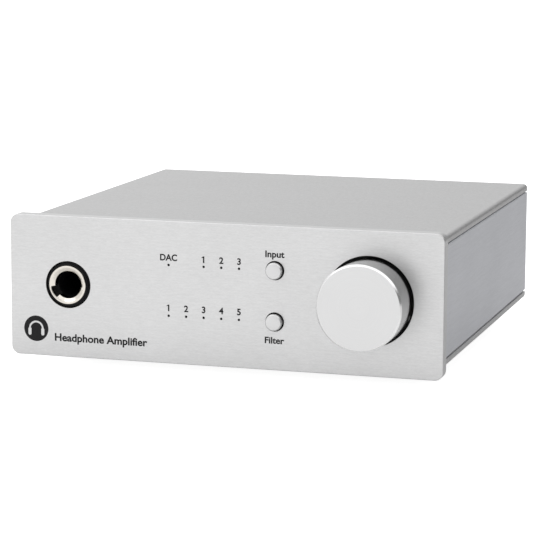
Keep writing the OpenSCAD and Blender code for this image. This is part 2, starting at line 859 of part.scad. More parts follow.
module line_out_left_socket() {
    color(nickel) placed() phono_shell(phono_x[2]);
}

// The coloured insulators inside the phono sockets.
module phono_insulators() {
    y1 = back_y + phono_out - 1;
    color([0.8, 0.1, 0.1]) placed() for (x = phono_x) turned(x, phono_z, [
        [phono_contact_r, back_y - phono_block_d], [phono_bore_r, back_y - phono_block_d],
        [phono_bore_r, y1], [phono_contact_r, y1]
    ]);
}

// The tubes that grip the plugs' centre pins.
module phono_centre_contacts() {
    y1 = back_y + phono_out - 1;
    color(brass) placed() for (x = phono_x) turned(x, phono_z, [
        [0, y1 - phono_pin_l - 1], [phono_contact_r, y1 - phono_pin_l - 1], [phono_contact_r, y1],
        [phono_pin_r, y1], [phono_pin_r, y1 - phono_pin_l], [0, y1 - phono_pin_l]
    ]);
}

// The space inside the USB shell, from y0 back to y1.
module usb_inside(y0, y1) {
    slab(usb_x, board_top_z + usb_wall, usb_w - 2 * usb_wall, usb_h - 2 * usb_wall, y0, y1);
}

module usb_socket_shell() {
    y0 = rear_plate_y - usb_d;
    y1 = back_y + usb_out;
    color(nickel) placed() difference() {
        slab(usb_x, board_top_z, usb_w, usb_h, y0, y1);
        usb_inside(y0 + usb_wall, y1 + bite);
    }
}

// The moulding inside the USB shell, with the tongue that carries the contacts.
module usb_socket_insert() {
    y0 = rear_plate_y - usb_d + usb_wall;
    y1 = back_y + usb_out - 0.8;
    floor_y = y1 - 9;
    mid_z = board_top_z + usb_h / 2;
    color([0.9, 0.9, 0.88]) placed() {
        difference() {
            usb_inside(y0, y1);
            translate([usb_x, 0, mid_z - usb_mouth_h / 2]) back_from(floor_y, y1 + bite) usb_mouth();
        }
        slab(usb_x, mid_z - usb_tongue_h / 2, usb_tongue_w, usb_tongue_h, floor_y - bite, y1 - 0.5);
    }
}

// The plug's outline: a rectangle with two slanted top corners.
module usb_mouth() {
    w = usb_mouth_w / 2;
    h = usb_mouth_h;
    slant = 1.7;
    polygon([[-w, 0], [w, 0], [w, h - slant], [w - slant, h], [slant - w, h], [-w, h - slant]]);
}

// A cylinder of length l on the shutter's axis.
module axle(l, r) {
    translate([optical_x - l / 2, shutter_y, shutter_z]) rotate([0, 90, 0]) cylinder(h = l, r = r);
}

module optical_socket_housing() {
    y0 = rear_plate_y - optical_d;
    y1 = back_y + optical_out;
    floor_y = y1 - optical_depth;
    w = optical_hole_w;
    color(black) placed() difference() {
        slab(optical_x, board_top_z, optical_w, optical_w, y0, y1);
        slab(optical_x, optical_z - w / 2, w, w, floor_y, y1 + bite);
        slab(optical_x, optical_z - receiver_w / 2, receiver_w, receiver_w, receiver_y, floor_y + bite);
        axle(w + 2 * shutter_pin_reach, shutter_pin_r);
    }
}

// The sprung shutter that keeps dust out. It hangs from its pin and swings inwards when a plug goes in.
module optical_socket_shutter() {
    half = optical_hole_w / 2 - shutter_gap;
    y1 = shutter_y + shutter_knuckle_r;
    color([0.12, 0.12, 0.125]) placed() difference() {
        union() {
            axle(2 * half, shutter_knuckle_r);
            block([optical_x - half, y1 - shutter_t, optical_z - half], [optical_x + half, y1, shutter_z]);
        }
        axle(2 * (half + bite), shutter_pin_r + running);
    }
}

module optical_socket_pin() {
    color(steel) placed() axle(optical_hole_w + 2 * shutter_pin_reach, shutter_pin_r);
}

// The light receiver at the bottom of the optical socket.
module optical_receiver() {
    y1 = back_y + optical_out - optical_depth;
    w = receiver_w - 2 * clearance;
    color([0.5, 0.1, 0.12]) placed() slab(optical_x, optical_z - w / 2, w, w, receiver_y, y1);
}

module power_inlet_housing() {
    y0 = rear_plate_y - inlet_d;
    y1 = back_y + inlet_out;
    color(black) placed() difference() {
        union() {
            slab(inlet_x, board_top_z, inlet_w, inlet_h, y0, rear_plate_y);
            rod(inlet_x, inlet_z, rear_plate_y - bite, y1, inlet_nose_r);
        }
        rod(inlet_x, inlet_z, y1 - inlet_depth, y1 + bite, inlet_hole_r);
        rod(inlet_x, inlet_z, y1 - inlet_depth - 2, y1, inlet_pin_r);
    }
}

module power_inlet_pin() {
    y1 = back_y + inlet_out;
    color(nickel) placed() turned(inlet_x, inlet_z, [
        [0, y1 - inlet_depth - 2], [inlet_pin_r, y1 - inlet_depth - 2], [inlet_pin_r, y1 - 1.4],
        [inlet_pin_r - 0.4, y1 - 1], [0, y1 - 1]
    ]);
}

// ---------- Parts on the main board ----------

module converter_chip() {
    color(black) placed() on_board(1, parts_y, [9, 9, 1.2]);
}

module usb_receiver_chip() {
    color(black) placed() on_board(usb_x + 1, parts_y + 7.5, [10, 10, 1.2]);
}

module opamp_chips() {
    color(black) placed() for (x = [9, 17], y = [-5, 5]) on_board(x, parts_y + y, [5, 4, 1.6]);
}

module electrolytic_capacitors() {
    can_r = 3.15;
    first_x = can_r + 1.1 - channel_x + channel_r;
    color([0.12, 0.13, 0.2]) placed() for (i = [0:3], row = [0, 1])
        can_on_board(first_x + 7 * i, parts_y - 5 - 8 * row, can_r, 11);
}

module film_capacitors() {
    color([0.7, 0.15, 0.12]) placed() for (i = [0:3])
        on_board(knob_x - 9 + 5 * i, parts_y - 11.5, [3, 7.2, 7.5]);
}

module mute_relay() {
    color([0.88, 0.88, 0.86]) placed() on_board(knob_x - 3, parts_y + 11.5, [15, 7.5, 9]);
}

module crystals() {
    color(nickel) placed() for (y = [-9, 9]) on_board(1, parts_y + y, [10.5, 4.6, 3.4]);
}

module voltage_regulator() {
    color(black) placed() on_board(inlet_x, parts_y + 6.7, [10, 3.4, 14]);
}

// A finned cooler screwed to the back of the regulator.
module heat_sink() {
    fin_t = 1.2;
    color([0.25, 0.25, 0.27]) placed() translate([inlet_x, parts_y + 5, board_top_z]) {
        translate([-5.5, -2, 0]) cube([11, 2, 16]);
        for (i = [-1:1]) translate([i * 4.6 - fin_t / 2, -6, 0]) cube([fin_t, 4.5, 16]);
    }
}

front_panel();
front_plate();
top_cover();
bottom_cover();
left_side_profile();
right_side_profile();
rear_panel();
fascia_screws();
front_plate_screws();
rear_panel_screws();
rubber_feet();
foot_screws();
volume_knob();
knob_grub_screw();
potentiometer_shaft();
potentiometer_bushing();
potentiometer_washer();
potentiometer_nut();
potentiometer_body();
potentiometer_back();
input_button();
input_switch_plunger();
input_switch_body();
filter_button();
filter_switch_plunger();
filter_switch_body();
headphone_jack_housing();
headphone_jack_ferrule();
headphone_jack_contacts();
indicator_light_pipes();
indicator_leds();
front_board();
board_header();
main_board();
phono_socket_block();
line_out_left_socket();
line_out_right_socket();
coaxial_socket();
phono_insulators();
phono_centre_contacts();
usb_socket_shell();
usb_socket_insert();
optical_socket_housing();
optical_socket_shutter();
optical_socket_pin();
optical_receiver();
power_inlet_housing();
power_inlet_pin();
converter_chip();
usb_receiver_chip();
opamp_chips();
electrolytic_capacitors();
film_capacitors();
mute_relay();
crystals();
voltage_regulator();
heat_sink();
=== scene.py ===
import json
import math

import bmesh
import bpy
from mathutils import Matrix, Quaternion, Vector


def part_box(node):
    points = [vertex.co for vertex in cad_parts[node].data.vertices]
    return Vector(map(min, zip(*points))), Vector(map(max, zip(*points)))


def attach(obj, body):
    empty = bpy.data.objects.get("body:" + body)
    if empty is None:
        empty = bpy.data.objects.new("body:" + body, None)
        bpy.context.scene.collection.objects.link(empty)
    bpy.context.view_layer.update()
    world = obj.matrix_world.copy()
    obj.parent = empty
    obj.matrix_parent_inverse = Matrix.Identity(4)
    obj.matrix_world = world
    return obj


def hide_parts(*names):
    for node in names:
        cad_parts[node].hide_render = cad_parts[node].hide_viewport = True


bl_info = {
    "name": "Headphone amplifier",
    "version": (1, 0, 0),
    "blender": (4, 5, 0),
    "location": "3D View > Sidebar > Amplifier",
    "description": "Builds the visible pieces, the finishes and the stage of a desktop headphone amplifier",
    "category": "Object",
}

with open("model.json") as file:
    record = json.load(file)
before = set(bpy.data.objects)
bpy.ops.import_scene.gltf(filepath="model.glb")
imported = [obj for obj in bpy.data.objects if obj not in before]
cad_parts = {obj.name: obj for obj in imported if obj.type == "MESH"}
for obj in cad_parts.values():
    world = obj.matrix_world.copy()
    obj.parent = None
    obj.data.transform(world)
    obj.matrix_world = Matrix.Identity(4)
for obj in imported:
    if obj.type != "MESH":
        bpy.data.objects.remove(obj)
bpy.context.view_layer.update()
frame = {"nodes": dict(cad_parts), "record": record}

MM = 0.001
CASE = "case"
RIGHT = Vector((1, 0, 0))
BACK = Vector((0, 1, 0))
UP = Vector((0, 0, 1))
SAME_PLACE = 1e-6
FULL_TURN = 2 * math.pi
FLAT_LIMIT = math.radians(0.5)
BEVEL_LIMIT = math.radians(32)
SMOOTH_LIMIT = math.radians(50)

# Radius of the softened edges of the smallest parts
FINE_EDGE = 0.03 * MM
# Depth of the relief that brushing and moulding leave
BRUSHED_DEPTH = 0.02 * MM
MOULDED_DEPTH = 0.01 * MM
# Height of a capital in the plain font at a size of one
CAPITAL = 0.729
# Room between the inner plate and the flange of a button at rest
BUTTON_PLAY = 0.1 * MM
# Wall of a centre contact of a phono socket
CONTACT_WALL = 0.4 * MM
# Height of the numbers on the rear panel above the phono sockets
REAR_LABEL_RISE = 1.1 * MM
# The contacts in the USB socket: back from the tongue's end, from its middle, and their bevelled ends
STRIP_SETBACK = 1.2 * MM
STRIP_PLACE = 1.25 * MM
STRIP_BEVEL = 0.1 * MM
STRIP_EDGE = 0.02 * MM

# Steps round a turned piece or a hole, by its size
FINE = 112
MIDDLE = 64
SMALL = 28

FASCIA_LOW, FASCIA_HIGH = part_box("front_panel")
KNOB_LOW, KNOB_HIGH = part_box("volume_knob")
KNOB_MIDDLE = (KNOB_LOW + KNOB_HIGH) / 2
REAR_LOW, REAR_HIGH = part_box("rear_panel")
SLOT_COLOUR = {entry["slot"]: entry["base_color"] for entry in frame["record"]["materials"]}

# The CAD nodes that are kept as they are, by finish
KEPT_NODES = {
    "inner_plate": ["front_plate"],
    "steel": ["fascia_screws", "front_plate_screws", "potentiometer_shaft"],
    "nickel": ["potentiometer_bushing", "potentiometer_washer", "potentiometer_nut", "potentiometer_back"],
    "pot_body": ["potentiometer_body"],
    "white_plastic": ["input_switch_plunger", "filter_switch_plunger", "mute_relay"],
    "black_plastic": ["input_switch_body", "filter_switch_body", "board_header", "phono_socket_block"],
    "contact": ["headphone_jack_contacts"],
    "lamp": ["indicator_leds"],
    "circuit_board": ["front_board", "main_board"],
    "chip": ["converter_chip", "usb_receiver_chip", "opamp_chips", "voltage_regulator"],
    "capacitor_sleeve": ["electrolytic_capacitors"],
    "film_capacitor": ["film_capacitors"],
    "crystal_can": ["crystals"],
    "heat_sink": ["heat_sink"],
}


def length(name, description, millimetres):
    """A length that a user can change, given here in millimetres."""
    return bpy.props.FloatProperty(
        name=name,
        description=description,
        default=millimetres * MM,
        unit="LENGTH",
        subtype="DISTANCE",
        precision=5,
    )


def colour(name, description, default):
    """A colour that a user can change."""
    return bpy.props.FloatVectorProperty(
        name=name,
        description=description,
        default=default,
        size=3,
        min=0,
        max=1,
        subtype="COLOR",
    )


def amount(name, description, default):
    """A plain number that a user can change."""
    return bpy.props.FloatProperty(name=name, description=description, default=default)


class AmplifierSizes(bpy.types.PropertyGroup):
    """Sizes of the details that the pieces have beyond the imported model."""

    corner: length("Fascia corner", "Radius of the corners of the fascia", 2)
    chamfer: length("Fascia chamfer", "Width of the chamfer round the front of the fascia", 0.2)
    hole_break: length("Hole edge", "Width of the broken edge round each hole in the fascia", 0.1)
    knob_gap: length("Knob gap", "Gap between the knob and its hole", 0.5)
    knob_chamfer: length("Knob chamfer", "Width of the polished chamfer round the knob", 0.4)
    knob_wall: length("Knob wall", "Thickness of the wall round the pocket in the knob", 1.6)
    knob_web: length("Knob web", "Distance from the front of the fascia to the bottom of the pocket", 1.5)
    knob_bore: length("Knob bore", "Radius of the bore that takes the shaft", 3.02)
    knob_bore_end: length("Knob front", "Metal left in front of the shaft", 2.3)
    grub_hole: length("Grub screw hole", "Radius of the hole for the grub screw", 1.5)
    button_gap: length("Button gap", "Gap between a button and its hole", 0.22)
    button_radius: length("Button radius", "Radius of the button caps", 1.93)
    button_chamfer: length("Button chamfer", "Width of the chamfer round a button", 0.25)
    button_flange: length("Button flange", "Thickness of the flange that keeps a button in", 0.8)
    button_stem: length("Button stem", "Radius of the stem behind a button", 1.2)
    nose_gap: length("Jack gap", "Gap between the nose of the jack and its hole", 0.25)
    nose_radius: length("Jack nose", "Radius of the nose of the jack", 5.2)
    indicator_radius: length("Indicator radius", "Radius of the indicator holes", 0.3)
    indicator_depth: length("Indicator depth", "Length of the narrow part of an indicator hole", 0.8)
    pipe_hole: length("Light pipe hole", "Radius of the wide part of an indicator hole", 1.1)
    screw_hole: length("Screw hole", "Radius of the blind holes in the back of the fascia", 1.25)
    screw_depth: length("Screw hole depth", "Depth of the blind holes in the back of the fascia", 2)
    soft_edge: length("Soft edge", "Radius of the softened edges of small parts", 0.06)
    cover_edge: length("Cover edge", "Radius of the softened ends of the covers and the side walls", 0.05)
    foot_recess: length("Foot recess", "Radius of the recess for a foot's screw", 3.2)
    foot_recess_depth: length("Foot recess depth", "Depth of the recess for a foot's screw", 3.6)
    foot_hole: length("Foot hole", "Radius of the hole for a foot's screw", 1.8)
    foot_bevel: length("Foot bevel", "Width of the bevel round the bottom of a foot", 0.8)
    phono_wall: length("Phono wall", "Thickness of the wall of a phono socket", 0.85)
    phono_flange: length("Phono flange", "Thickness of the flange of a phono socket", 0.8)
    phono_flange_reach: length("Phono flange reach", "How far the flange stands out round the barrel", 1.05)
    phono_neck_reach: length("Phono neck reach", "How far the neck stands out round the barrel", 0.35)
    phono_pin_hole: length("Phono centre hole", "Radius of the hole for a plug's centre pin", 1.6)
    phono_pin_depth: length("Phono centre depth", "Depth of the hole for a plug's centre pin", 7)
    tongue_height: length("Tongue height", "Height of the tongue in the USB socket", 3.2)
    strip_width: length("Contact width", "Width of the contacts on the tongue", 1)
    strip_length: length("Contact length", "Length of the contacts on the tongue", 6.5)
    strip_height: length("Contact height", "How far a contact stands off the tongue", 0.12)
    ink: length("Ink thickness", "Thickness of the printed labels", 0.02)


class AmplifierLabels(bpy.types.PropertyGroup):
    """Places and sizes of the printed labels, from the lower left corner of the fascia's front."""

    letter: length("Letter height", "Height of the small capitals and digits", 1.5)
    caption_letter: length("Caption height", "Height of the capitals in the caption", 1.8)
    caption_left: length("Caption left", "Left end of the caption, from the middle of the fascia", -40.7)
    caption_width: length("Caption width", "Width of the caption", 22.75)
    caption_rise: length("Caption rise", "Height of the caption's line above the fascia's bottom edge", 3.7)
    sign_x: length("Sign place", "Middle of the headphone sign, from the middle of the fascia", -45.3)
    sign_rise: length("Sign rise", "Height of the sign's middle above the fascia's bottom edge", 6.3)
    sign_radius: length("Sign radius", "Radius of the disc of the headphone sign", 3.02)
    converter_width: length("Converter label width", "Width of the label over the first lamp", 4.1)
    converter_rise: length("Converter label rise", "Height of that label above its lamp", 1.03)
    digit_rise: length("Upper digits rise", "Height of the upper digits above their lamps", 0.93)
    low_digit_rise: length("Lower digits rise", "Height of the lower digits above their lamps", 1.12)
    input_width: length("Input label width", "Width of the label of the input button", 4.5)
    input_rise: length("Input label rise", "Height of that label's line above its button", 3.03)
    filter_width: length("Filter label width", "Width of the label of the filter button", 4.58)
    filter_rise: length("Filter label rise", "Height of that label's line above its button", -4.93)
    rear_letter: length("Rear letter height", "Height of the numbers on the rear panel", 1.9)


class AmplifierColours(bpy.types.PropertyGroup):
    """Colours of the visible finishes."""

    fascia: colour("Fascia", "Brushed and anodised aluminium of the fascia", (0.66, 0.66, 0.662))
    cover: colour("Covers", "Satin aluminium of the covers", (0.56, 0.56, 0.562))
    side: colour("Side profiles", "Satin aluminium of the side profiles", (0.67, 0.68, 0.715))
    rear: colour("Rear panel", "Satin aluminium of the rear panel", (0.56, 0.56, 0.562))
    knob: colour("Knob", "Fine turned aluminium of the knob", (0.69, 0.69, 0.692))
    knob_edge: colour("Knob edge", "Polished chamfer of the knob and the buttons", (0.93, 0.93, 0.93))
    button: colour("Buttons", "Fine turned aluminium of the buttons", (0.66, 0.66, 0.662))
    ferrule: colour("Ferrule", "Nickel of the jack's ferrule", (0.76, 0.72, 0.66))
    ink: colour("Ink", "Ink of the printed labels", (0.012, 0.012, 0.013))
    rubber: colour("Rubber", "Rubber of the feet", (0.025, 0.025, 0.026))
    coaxial: colour("Coaxial insulator", "Insulator of the coaxial input", (0.85, 0.28, 0.02))
    line_right: colour("Right insulator", "Insulator of the right line output", (0.62, 0.02, 0.02))
    line_left: colour("Left insulator", "Insulator of the left line output", (0.82, 0.82, 0.8))


class AmplifierStage(bpy.types.PropertyGroup):
    """The camera, the floor and the lights."""

    lens: amount("Lens", "Focal length of the camera in millimetres", 161.98)
    distance: length("Distance", "Distance from the camera to the point that it looks at", 539.22)
    azimuth: bpy.props.FloatProperty(
        name="Azimuth",
        description="How far the camera stands round to the right",
        default=math.radians(16.757),
        unit="ROTATION",
        subtype="ANGLE",
    )
    elevation: bpy.props.FloatProperty(
        name="Elevation",
        description="How far the camera stands above the horizon",
        default=math.radians(9.264),
        unit="ROTATION",
        subtype="ANGLE",
    )
    roll: bpy.props.FloatProperty(
        name="Roll",
        description="How far the camera's right side is raised",
        default=math.radians(0.2565),
        unit="ROTATION",
        subtype="ANGLE",
    )
    aim_x: length("Aim across", "The point that the camera looks at, from the middle of the fascia", 10.55)
    aim_z: length("Aim height", "The point that the camera looks at, above the fascia's bottom edge", 23.72)
    floor_colour: colour("Floor", "Colour of the floor", (0.5, 0.5, 0.5))
    floor_glow: amount("Floor glow", "Extra light from the floor towards the camera, to keep it white", 0.8)
    floor_front: amount("Floor light in front", "Light that the floor gives in front of the fascia", 0.56)
    floor_behind: amount("Floor light behind", "Light that the floor gives behind the fascia", 0.08)
    sky_left: amount("Light from the left", "Brightness of the studio on the left", 1.16)
    sky_right: amount("Light from the right", "Brightness of the studio on the right", 0.2)
    sky_behind: amount("Light from behind", "How much of that brightness is left behind the amplifier", 0.75)
    sky_overhead: amount("Light from above", "Brightness of the studio overhead", 1.2)
    key_power: amount("Key light", "Power of the large soft light in watts", 4)


# ---------- Modelling ----------


def deselect():
    """Leaves edit mode and selects nothing."""
    if bpy.context.object and bpy.context.object.mode != "OBJECT":
        bpy.ops.object.mode_set(mode="OBJECT")
    bpy.ops.object.select_all(action="DESELECT")


def only(piece):
    """Selects one piece and nothing else, in object mode."""
    deselect()
    bpy.context.view_layer.objects.active = piece
    piece.select_set(True)


def edit(piece):
    """Opens a piece in edit mode with all of it selected."""
    only(piece)
    bpy.ops.object.mode_set(mode="EDIT")
    bpy.ops.mesh.select_mode(type="VERT")
    bpy.ops.mesh.select_all(action="SELECT")


def pick(piece, kind, test):
    """Selects only the edges or faces that pass a test, with the piece in edit mode."""
    bpy.ops.mesh.select_mode(type=kind)
    bpy.ops.mesh.select_all(action="DESELECT")
    shape = bmesh.from_edit_mesh(piece.data)
    parts = shape.edges if kind == "EDGE" else shape.faces
    for part in parts:
        part.select_set(test(part))
    bmesh.update_edit_mesh(piece.data)


def run_along(edge, way):
    """Whether an edge runs along a direction."""
    line = edge.verts[1].co - edge.verts[0].co
    return abs(line.normalized().dot(way)) > 0.999


def lies_at(part, way, place):
    """Whether every corner of an edge or a face has the same place along a direction."""
    return all(abs(corner.co.dot(way) - place) < SAME_PLACE for corner in part.verts)


def add_block(name, low, high):
    """A block from its lowest to its highest corner, ready to be shaped."""
    deselect()
    bpy.ops.mesh.primitive_cube_add(size=1, location=(low + high) / 2)
    block = bpy.context.object
    block.name = name
    block.scale = high - low
    bpy.ops.object.transform_apply(location=True, rotation=True, scale=True)
    return block


def draw_line(name, points):
    """A line drawn from point to point, left in edit mode."""
    deselect()
    bpy.ops.mesh.primitive_plane_add(size=MM, location=points[0])
    line = bpy.context.object
    line.name = name
    bpy.ops.object.transform_apply(location=True, rotation=True, scale=True)
    edit(line)
    bpy.ops.mesh.merge(type="CENTER")
    for start, end in zip(points, points[1:]):
        bpy.ops.mesh.extrude_vertices_move(TRANSFORM_OT_translate={"value": end - start})
    return line


def extruded(name, points, step):
    """A solid made of a closed outline, pushed out by a step."""
    solid = draw_line(name, points)
    bpy.ops.mesh.select_all(action="SELECT")
    bpy.ops.mesh.edge_face_add()
    bpy.ops.mesh.select_all(action="SELECT")
    bpy.ops.mesh.extrude_region_move(TRANSFORM_OT_translate={"value": step})
    bpy.ops.mesh.select_all(action="SELECT")
    bpy.ops.mesh.normals_make_consistent(inside=False)
    deselect()
    return solid


def turned(name, profile, middle, steps=MIDDLE, axis=BACK, closed=False):
    """A solid turned about an axis, from (radius, place along the axis) points.

    An open profile starts and ends on the axis. A closed one goes round a ring's own section."""
    base = middle - axis * middle.dot(axis)
    points = [base + RIGHT * radius + axis * along for radius, along in profile]
    if closed:
        points.append(points[0])
    solid = draw_line(name, points)
    bpy.ops.mesh.select_all(action="SELECT")
    bpy.ops.mesh.remove_doubles(threshold=SAME_PLACE)
    bpy.ops.mesh.spin(steps=steps, angle=FULL_TURN, center=base, axis=axis, use_auto_merge=True)
    bpy.ops.mesh.select_all(action="SELECT")
    bpy.ops.mesh.remove_doubles(threshold=SAME_PLACE)
    bpy.ops.mesh.normals_make_consistent(inside=False)
    deselect()
    return solid


def copied(piece, name, shift):
    """A copy of a finished piece with its own mesh, moved by a shift."""
    only(piece)
    bpy.ops.object.duplicate(linked=False)
    twin = bpy.context.object
    twin.name = name
    twin.location = shift
    bpy.ops.object.transform_apply(location=True, rotation=True, scale=True)
    return twin


def joined(pieces, name):
    """Several pieces made one."""
    only(pieces[0])
    for piece in pieces:
        piece.select_set(True)
    bpy.ops.object.join()
    bpy.context.object.name = name
    return bpy.context.object


def apply_modifier(piece, kind, **settings):
    """Adds a modifier with its settings and applies it."""
    only(piece)
    bpy.ops.object.modifier_add(type=kind)
    modifier = piece.modifiers[-1]
    for key, value in settings.items():
        setattr(modifier, key, value)
    bpy.ops.object.modifier_apply(modifier=modifier.name)


def cut(piece, cutters):
    """Cuts the cutters out of a piece and removes them."""
    tool = joined(cutters, "cutter")
    apply_modifier(piece, "BOOLEAN", operation="DIFFERENCE", solver="EXACT", object=tool)
    bpy.data.objects.remove(tool)
    edit(piece)
    bpy.ops.mesh.remove_doubles(threshold=SAME_PLACE)
    deselect()


def smoothed(piece, soft=0.0):
    """Rounds a piece's edges by a radius and shades it smooth."""
    if soft:
        apply_modifier(
            piece,
            "BEVEL",
            width=soft,
            segments=2,
            limit_method="ANGLE",
            angle_limit=BEVEL_LIMIT,
            use_clamp_overlap=True,
        )
    only(piece)
    bpy.ops.object.shade_smooth_by_angle(angle=SMOOTH_LIMIT)
    apply_modifier(piece, "WEIGHTED_NORMAL", keep_sharp=True, weight=100)
    return piece


def refined(name, node, soft):
    """A copy of a CAD node as clean faces with softened edges."""
    piece = bpy.data.objects.new(name, frame["nodes"][node].data.copy())
    bpy.context.scene.collection.objects.link(piece)
    edit(piece)
    bpy.ops.mesh.remove_doubles(threshold=SAME_PLACE)
    bpy.ops.mesh.dissolve_limited(angle_limit=FLAT_LIMIT)
    deselect()
    return smoothed(piece, soft)


def solids(node):
    """The lowest and highest corner of each separate solid in a CAD node, from left to right."""
    shape = bmesh.new()
    shape.from_mesh(frame["nodes"][node].data)
    bmesh.ops.remove_doubles(shape, verts=shape.verts, dist=SAME_PLACE)
    waiting = set(shape.verts)
    boxes = []
    while waiting:
        front = [waiting.pop()]
        found = [front[0].co.copy()]
        while front:
            corner = front.pop()
            for line in corner.link_edges:
                other = line.other_vert(corner)
                if other in waiting:
                    waiting.remove(other)
                    front.append(other)
                    found.append(other.co.copy())
        low = Vector([min(place[i] for place in found) for i in range(3)])
        high = Vector([max(place[i] for place in found) for i in range(3)])
        boxes.append((low, high))
    shape.free()
    return sorted(boxes, key=lambda box: [round(value / MM, 1) for value in box[0]])


def middle_of(node):
    """The middle of a CAD node's box."""
    low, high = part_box(node)
    return (low + high) / 2


def middles(node):
    """The middle of each separate solid in a CAD node, from left to right."""
    return [(low + high) / 2 for low, high in solids(node)]


def installed(piece, body, slot, finish, *nodes):
    """Gives a finished piece its material and its body, and hides the CAD nodes that it stands for. The slot
    is not used.
    """
    piece.data.materials.clear()
    piece.data.materials.append(bpy.data.materials["finish_" + finish])
    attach(piece, body)
    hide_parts(*nodes)


def cleaned(rows, body=CASE):
    """Clean copies of CAD nodes in their places, from (name, node, finish, softened radius) rows."""
    for name, node, finish, soft in rows:
        installed(refined(name, node, soft), body, finish, finish, node)


# ---------- Finishes ----------


def add_node(tree, kind, **settings):
    """A node with its settings. A setting that names an input sets that input's value."""
    node = tree.nodes.new(kind)
    for key, value in settings.items():
        if hasattr(node, key):
            setattr(node, key, value)
        else:
            node.inputs[key.replace("_", " ")].default_value = value
    return node


def fade(tree, value, start, end, at_start=0.0, at_end=1.0):
    """The output of a node that turns one range of a value into another."""
    node = add_node(
        tree, "ShaderNodeMapRange", From_Min=start, From_Max=end, To_Min=at_start, To_Max=at_end
    )
    tree.links.new(value, node.inputs["Value"])
    return node.outputs["Result"]


def combined(tree, operation, first, second):
    """The output of a Math node that joins two values."""
    node = add_node(tree, "ShaderNodeMath", operation=operation)
    tree.links.new(first, node.inputs[0])
    tree.links.new(second, node.inputs[1])
    return node.outputs["Value"]


def new_group(name, inputs, outputs):
    """An empty shader node group with its sockets, and its input and output nodes."""
    tree = bpy.data.node_groups.new(name, "ShaderNodeTree")
    for label, kind, default in inputs:
        socket = tree.interface.new_socket(label, in_out="INPUT", socket_type=kind)
        if default is not None:
            socket.default_value = default
    for label, kind in outputs:
        tree.interface.new_socket(label, in_out="OUTPUT", socket_type=kind)
    return tree, tree.nodes.new("NodeGroupInput"), tree.nodes.new("NodeGroupOutput")


def build_grain():
    """Fine streaks from two sizes of noise, as brushing leaves them."""
    tree, given, result = new_group(
        "Grain",
        [("Vector", "NodeSocketVector", None), ("Fine", "NodeSocketFloat", 0.5)],
        [("Grain", "NodeSocketFloat"), ("Height", "NodeSocketFloat")],
    )
    coarse = add_node(tree, "ShaderNodeTexNoise", Scale=1.0, Detail=2.0, Roughness=0.6)
    fine = add_node(tree, "ShaderNodeTexNoise", Scale=3.7, Detail=1.0, Roughness=0.5)
    both = add_node(tree, "ShaderNodeMix", data_type="FLOAT")
    tree.links.new(given.outputs["Vector"], coarse.inputs["Vector"])
    tree.links.new(given.outputs["Vector"], fine.inputs["Vector"])
    tree.links.new(given.outputs["Fine"], both.inputs["Factor"])
    tree.links.new(coarse.outputs[0], both.inputs["A"])
    tree.links.new(fine.outputs[0], both.inputs["B"])
    tree.links.new(fade(tree, both.outputs["Result"], 0.36, 0.64), result.inputs["Grain"])
    tree.links.new(both.outputs["Result"], result.inputs["Height"])


def build_rings():
    """Turns places round an axis along Y into (distance from the axis, place along it)."""
    tree, given, result = new_group(
        "Rings",
        [("Vector", "NodeSocketVector", None)],
        [("Vector", "NodeSocketVector")],
    )
    split = add_node(tree, "ShaderNodeSeparateXYZ")
    flat = add_node(tree, "ShaderNodeCombineXYZ")
    radius = add_node(tree, "ShaderNodeVectorMath", operation="LENGTH")
    ring = add_node(tree, "ShaderNodeCombineXYZ")
    tree.links.new(given.outputs["Vector"], split.inputs["Vector"])
    tree.links.new(split.outputs["X"], flat.inputs["X"])
    tree.links.new(split.outputs["Z"], flat.inputs["Z"])
    tree.links.new(flat.outputs["Vector"], radius.inputs[0])
    tree.links.new(radius.outputs["Value"], ring.inputs["X"])
    tree.links.new(split.outputs["Y"], ring.inputs["Y"])
    tree.links.new(ring.outputs["Vector"], result.inputs["Vector"])


def build_handling():
    """Large soft patches where a surface has been touched or has gathered a little dust."""
    tree, given, result = new_group(
        "Handling",
        [("Vector", "NodeSocketVector", None), ("Size", "NodeSocketFloat", 40.0)],
        [("Mask", "NodeSocketFloat")],
    )
    patches = add_node(tree, "ShaderNodeTexNoise", Detail=4.0, Roughness=0.55)
    tree.links.new(given.outputs["Vector"], patches.inputs["Vector"])
    tree.links.new(given.outputs["Size"], patches.inputs["Scale"])
    tree.links.new(fade(tree, patches.outputs[0], 0.35, 0.68), result.inputs["Mask"])


def build_moulding():
    """The fine even texture of a moulded, plated or cast surface."""
    tree, given, result = new_group(
        "Moulding",
        [("Vector", "NodeSocketVector", None), ("Scale", "NodeSocketFloat", 4000.0)],
        [("Speckle", "NodeSocketFloat"), ("Height", "NodeSocketFloat")],
    )
    pits = add_node(tree, "ShaderNodeTexNoise", Detail=3.0, Roughness=0.6)
    tree.links.new(given.outputs["Vector"], pits.inputs["Vector"])
    tree.links.new(given.outputs["Scale"], pits.inputs["Scale"])
    tree.links.new(fade(tree, pits.outputs[0], 0.3, 0.7), result.inputs["Speckle"])
    tree.links.new(pits.outputs[0], result.inputs["Height"])


def group_node(tree, name):
    """A node that holds one of the shared groups."""
    node = tree.nodes.new("ShaderNodeGroup")
    node.node_tree = bpy.data.node_groups[name]
    return node


def shaded(tint, factor):
    """A colour made lighter or darker, with full alpha."""
    return [min(1.0, value * factor) for value in tint] + [1.0]


def new_material(name):
    """A new material's tree, shader and object coordinates. Its name is kept apart from the frame's own."""
    material = bpy.data.materials.new("finish_" + name)
    material.use_nodes = True
    tree = material.node_tree
    shader = tree.nodes["Principled BSDF"]
    place = add_node(tree, "ShaderNodeTexCoord")
    return tree, shader, place.outputs["Object"]


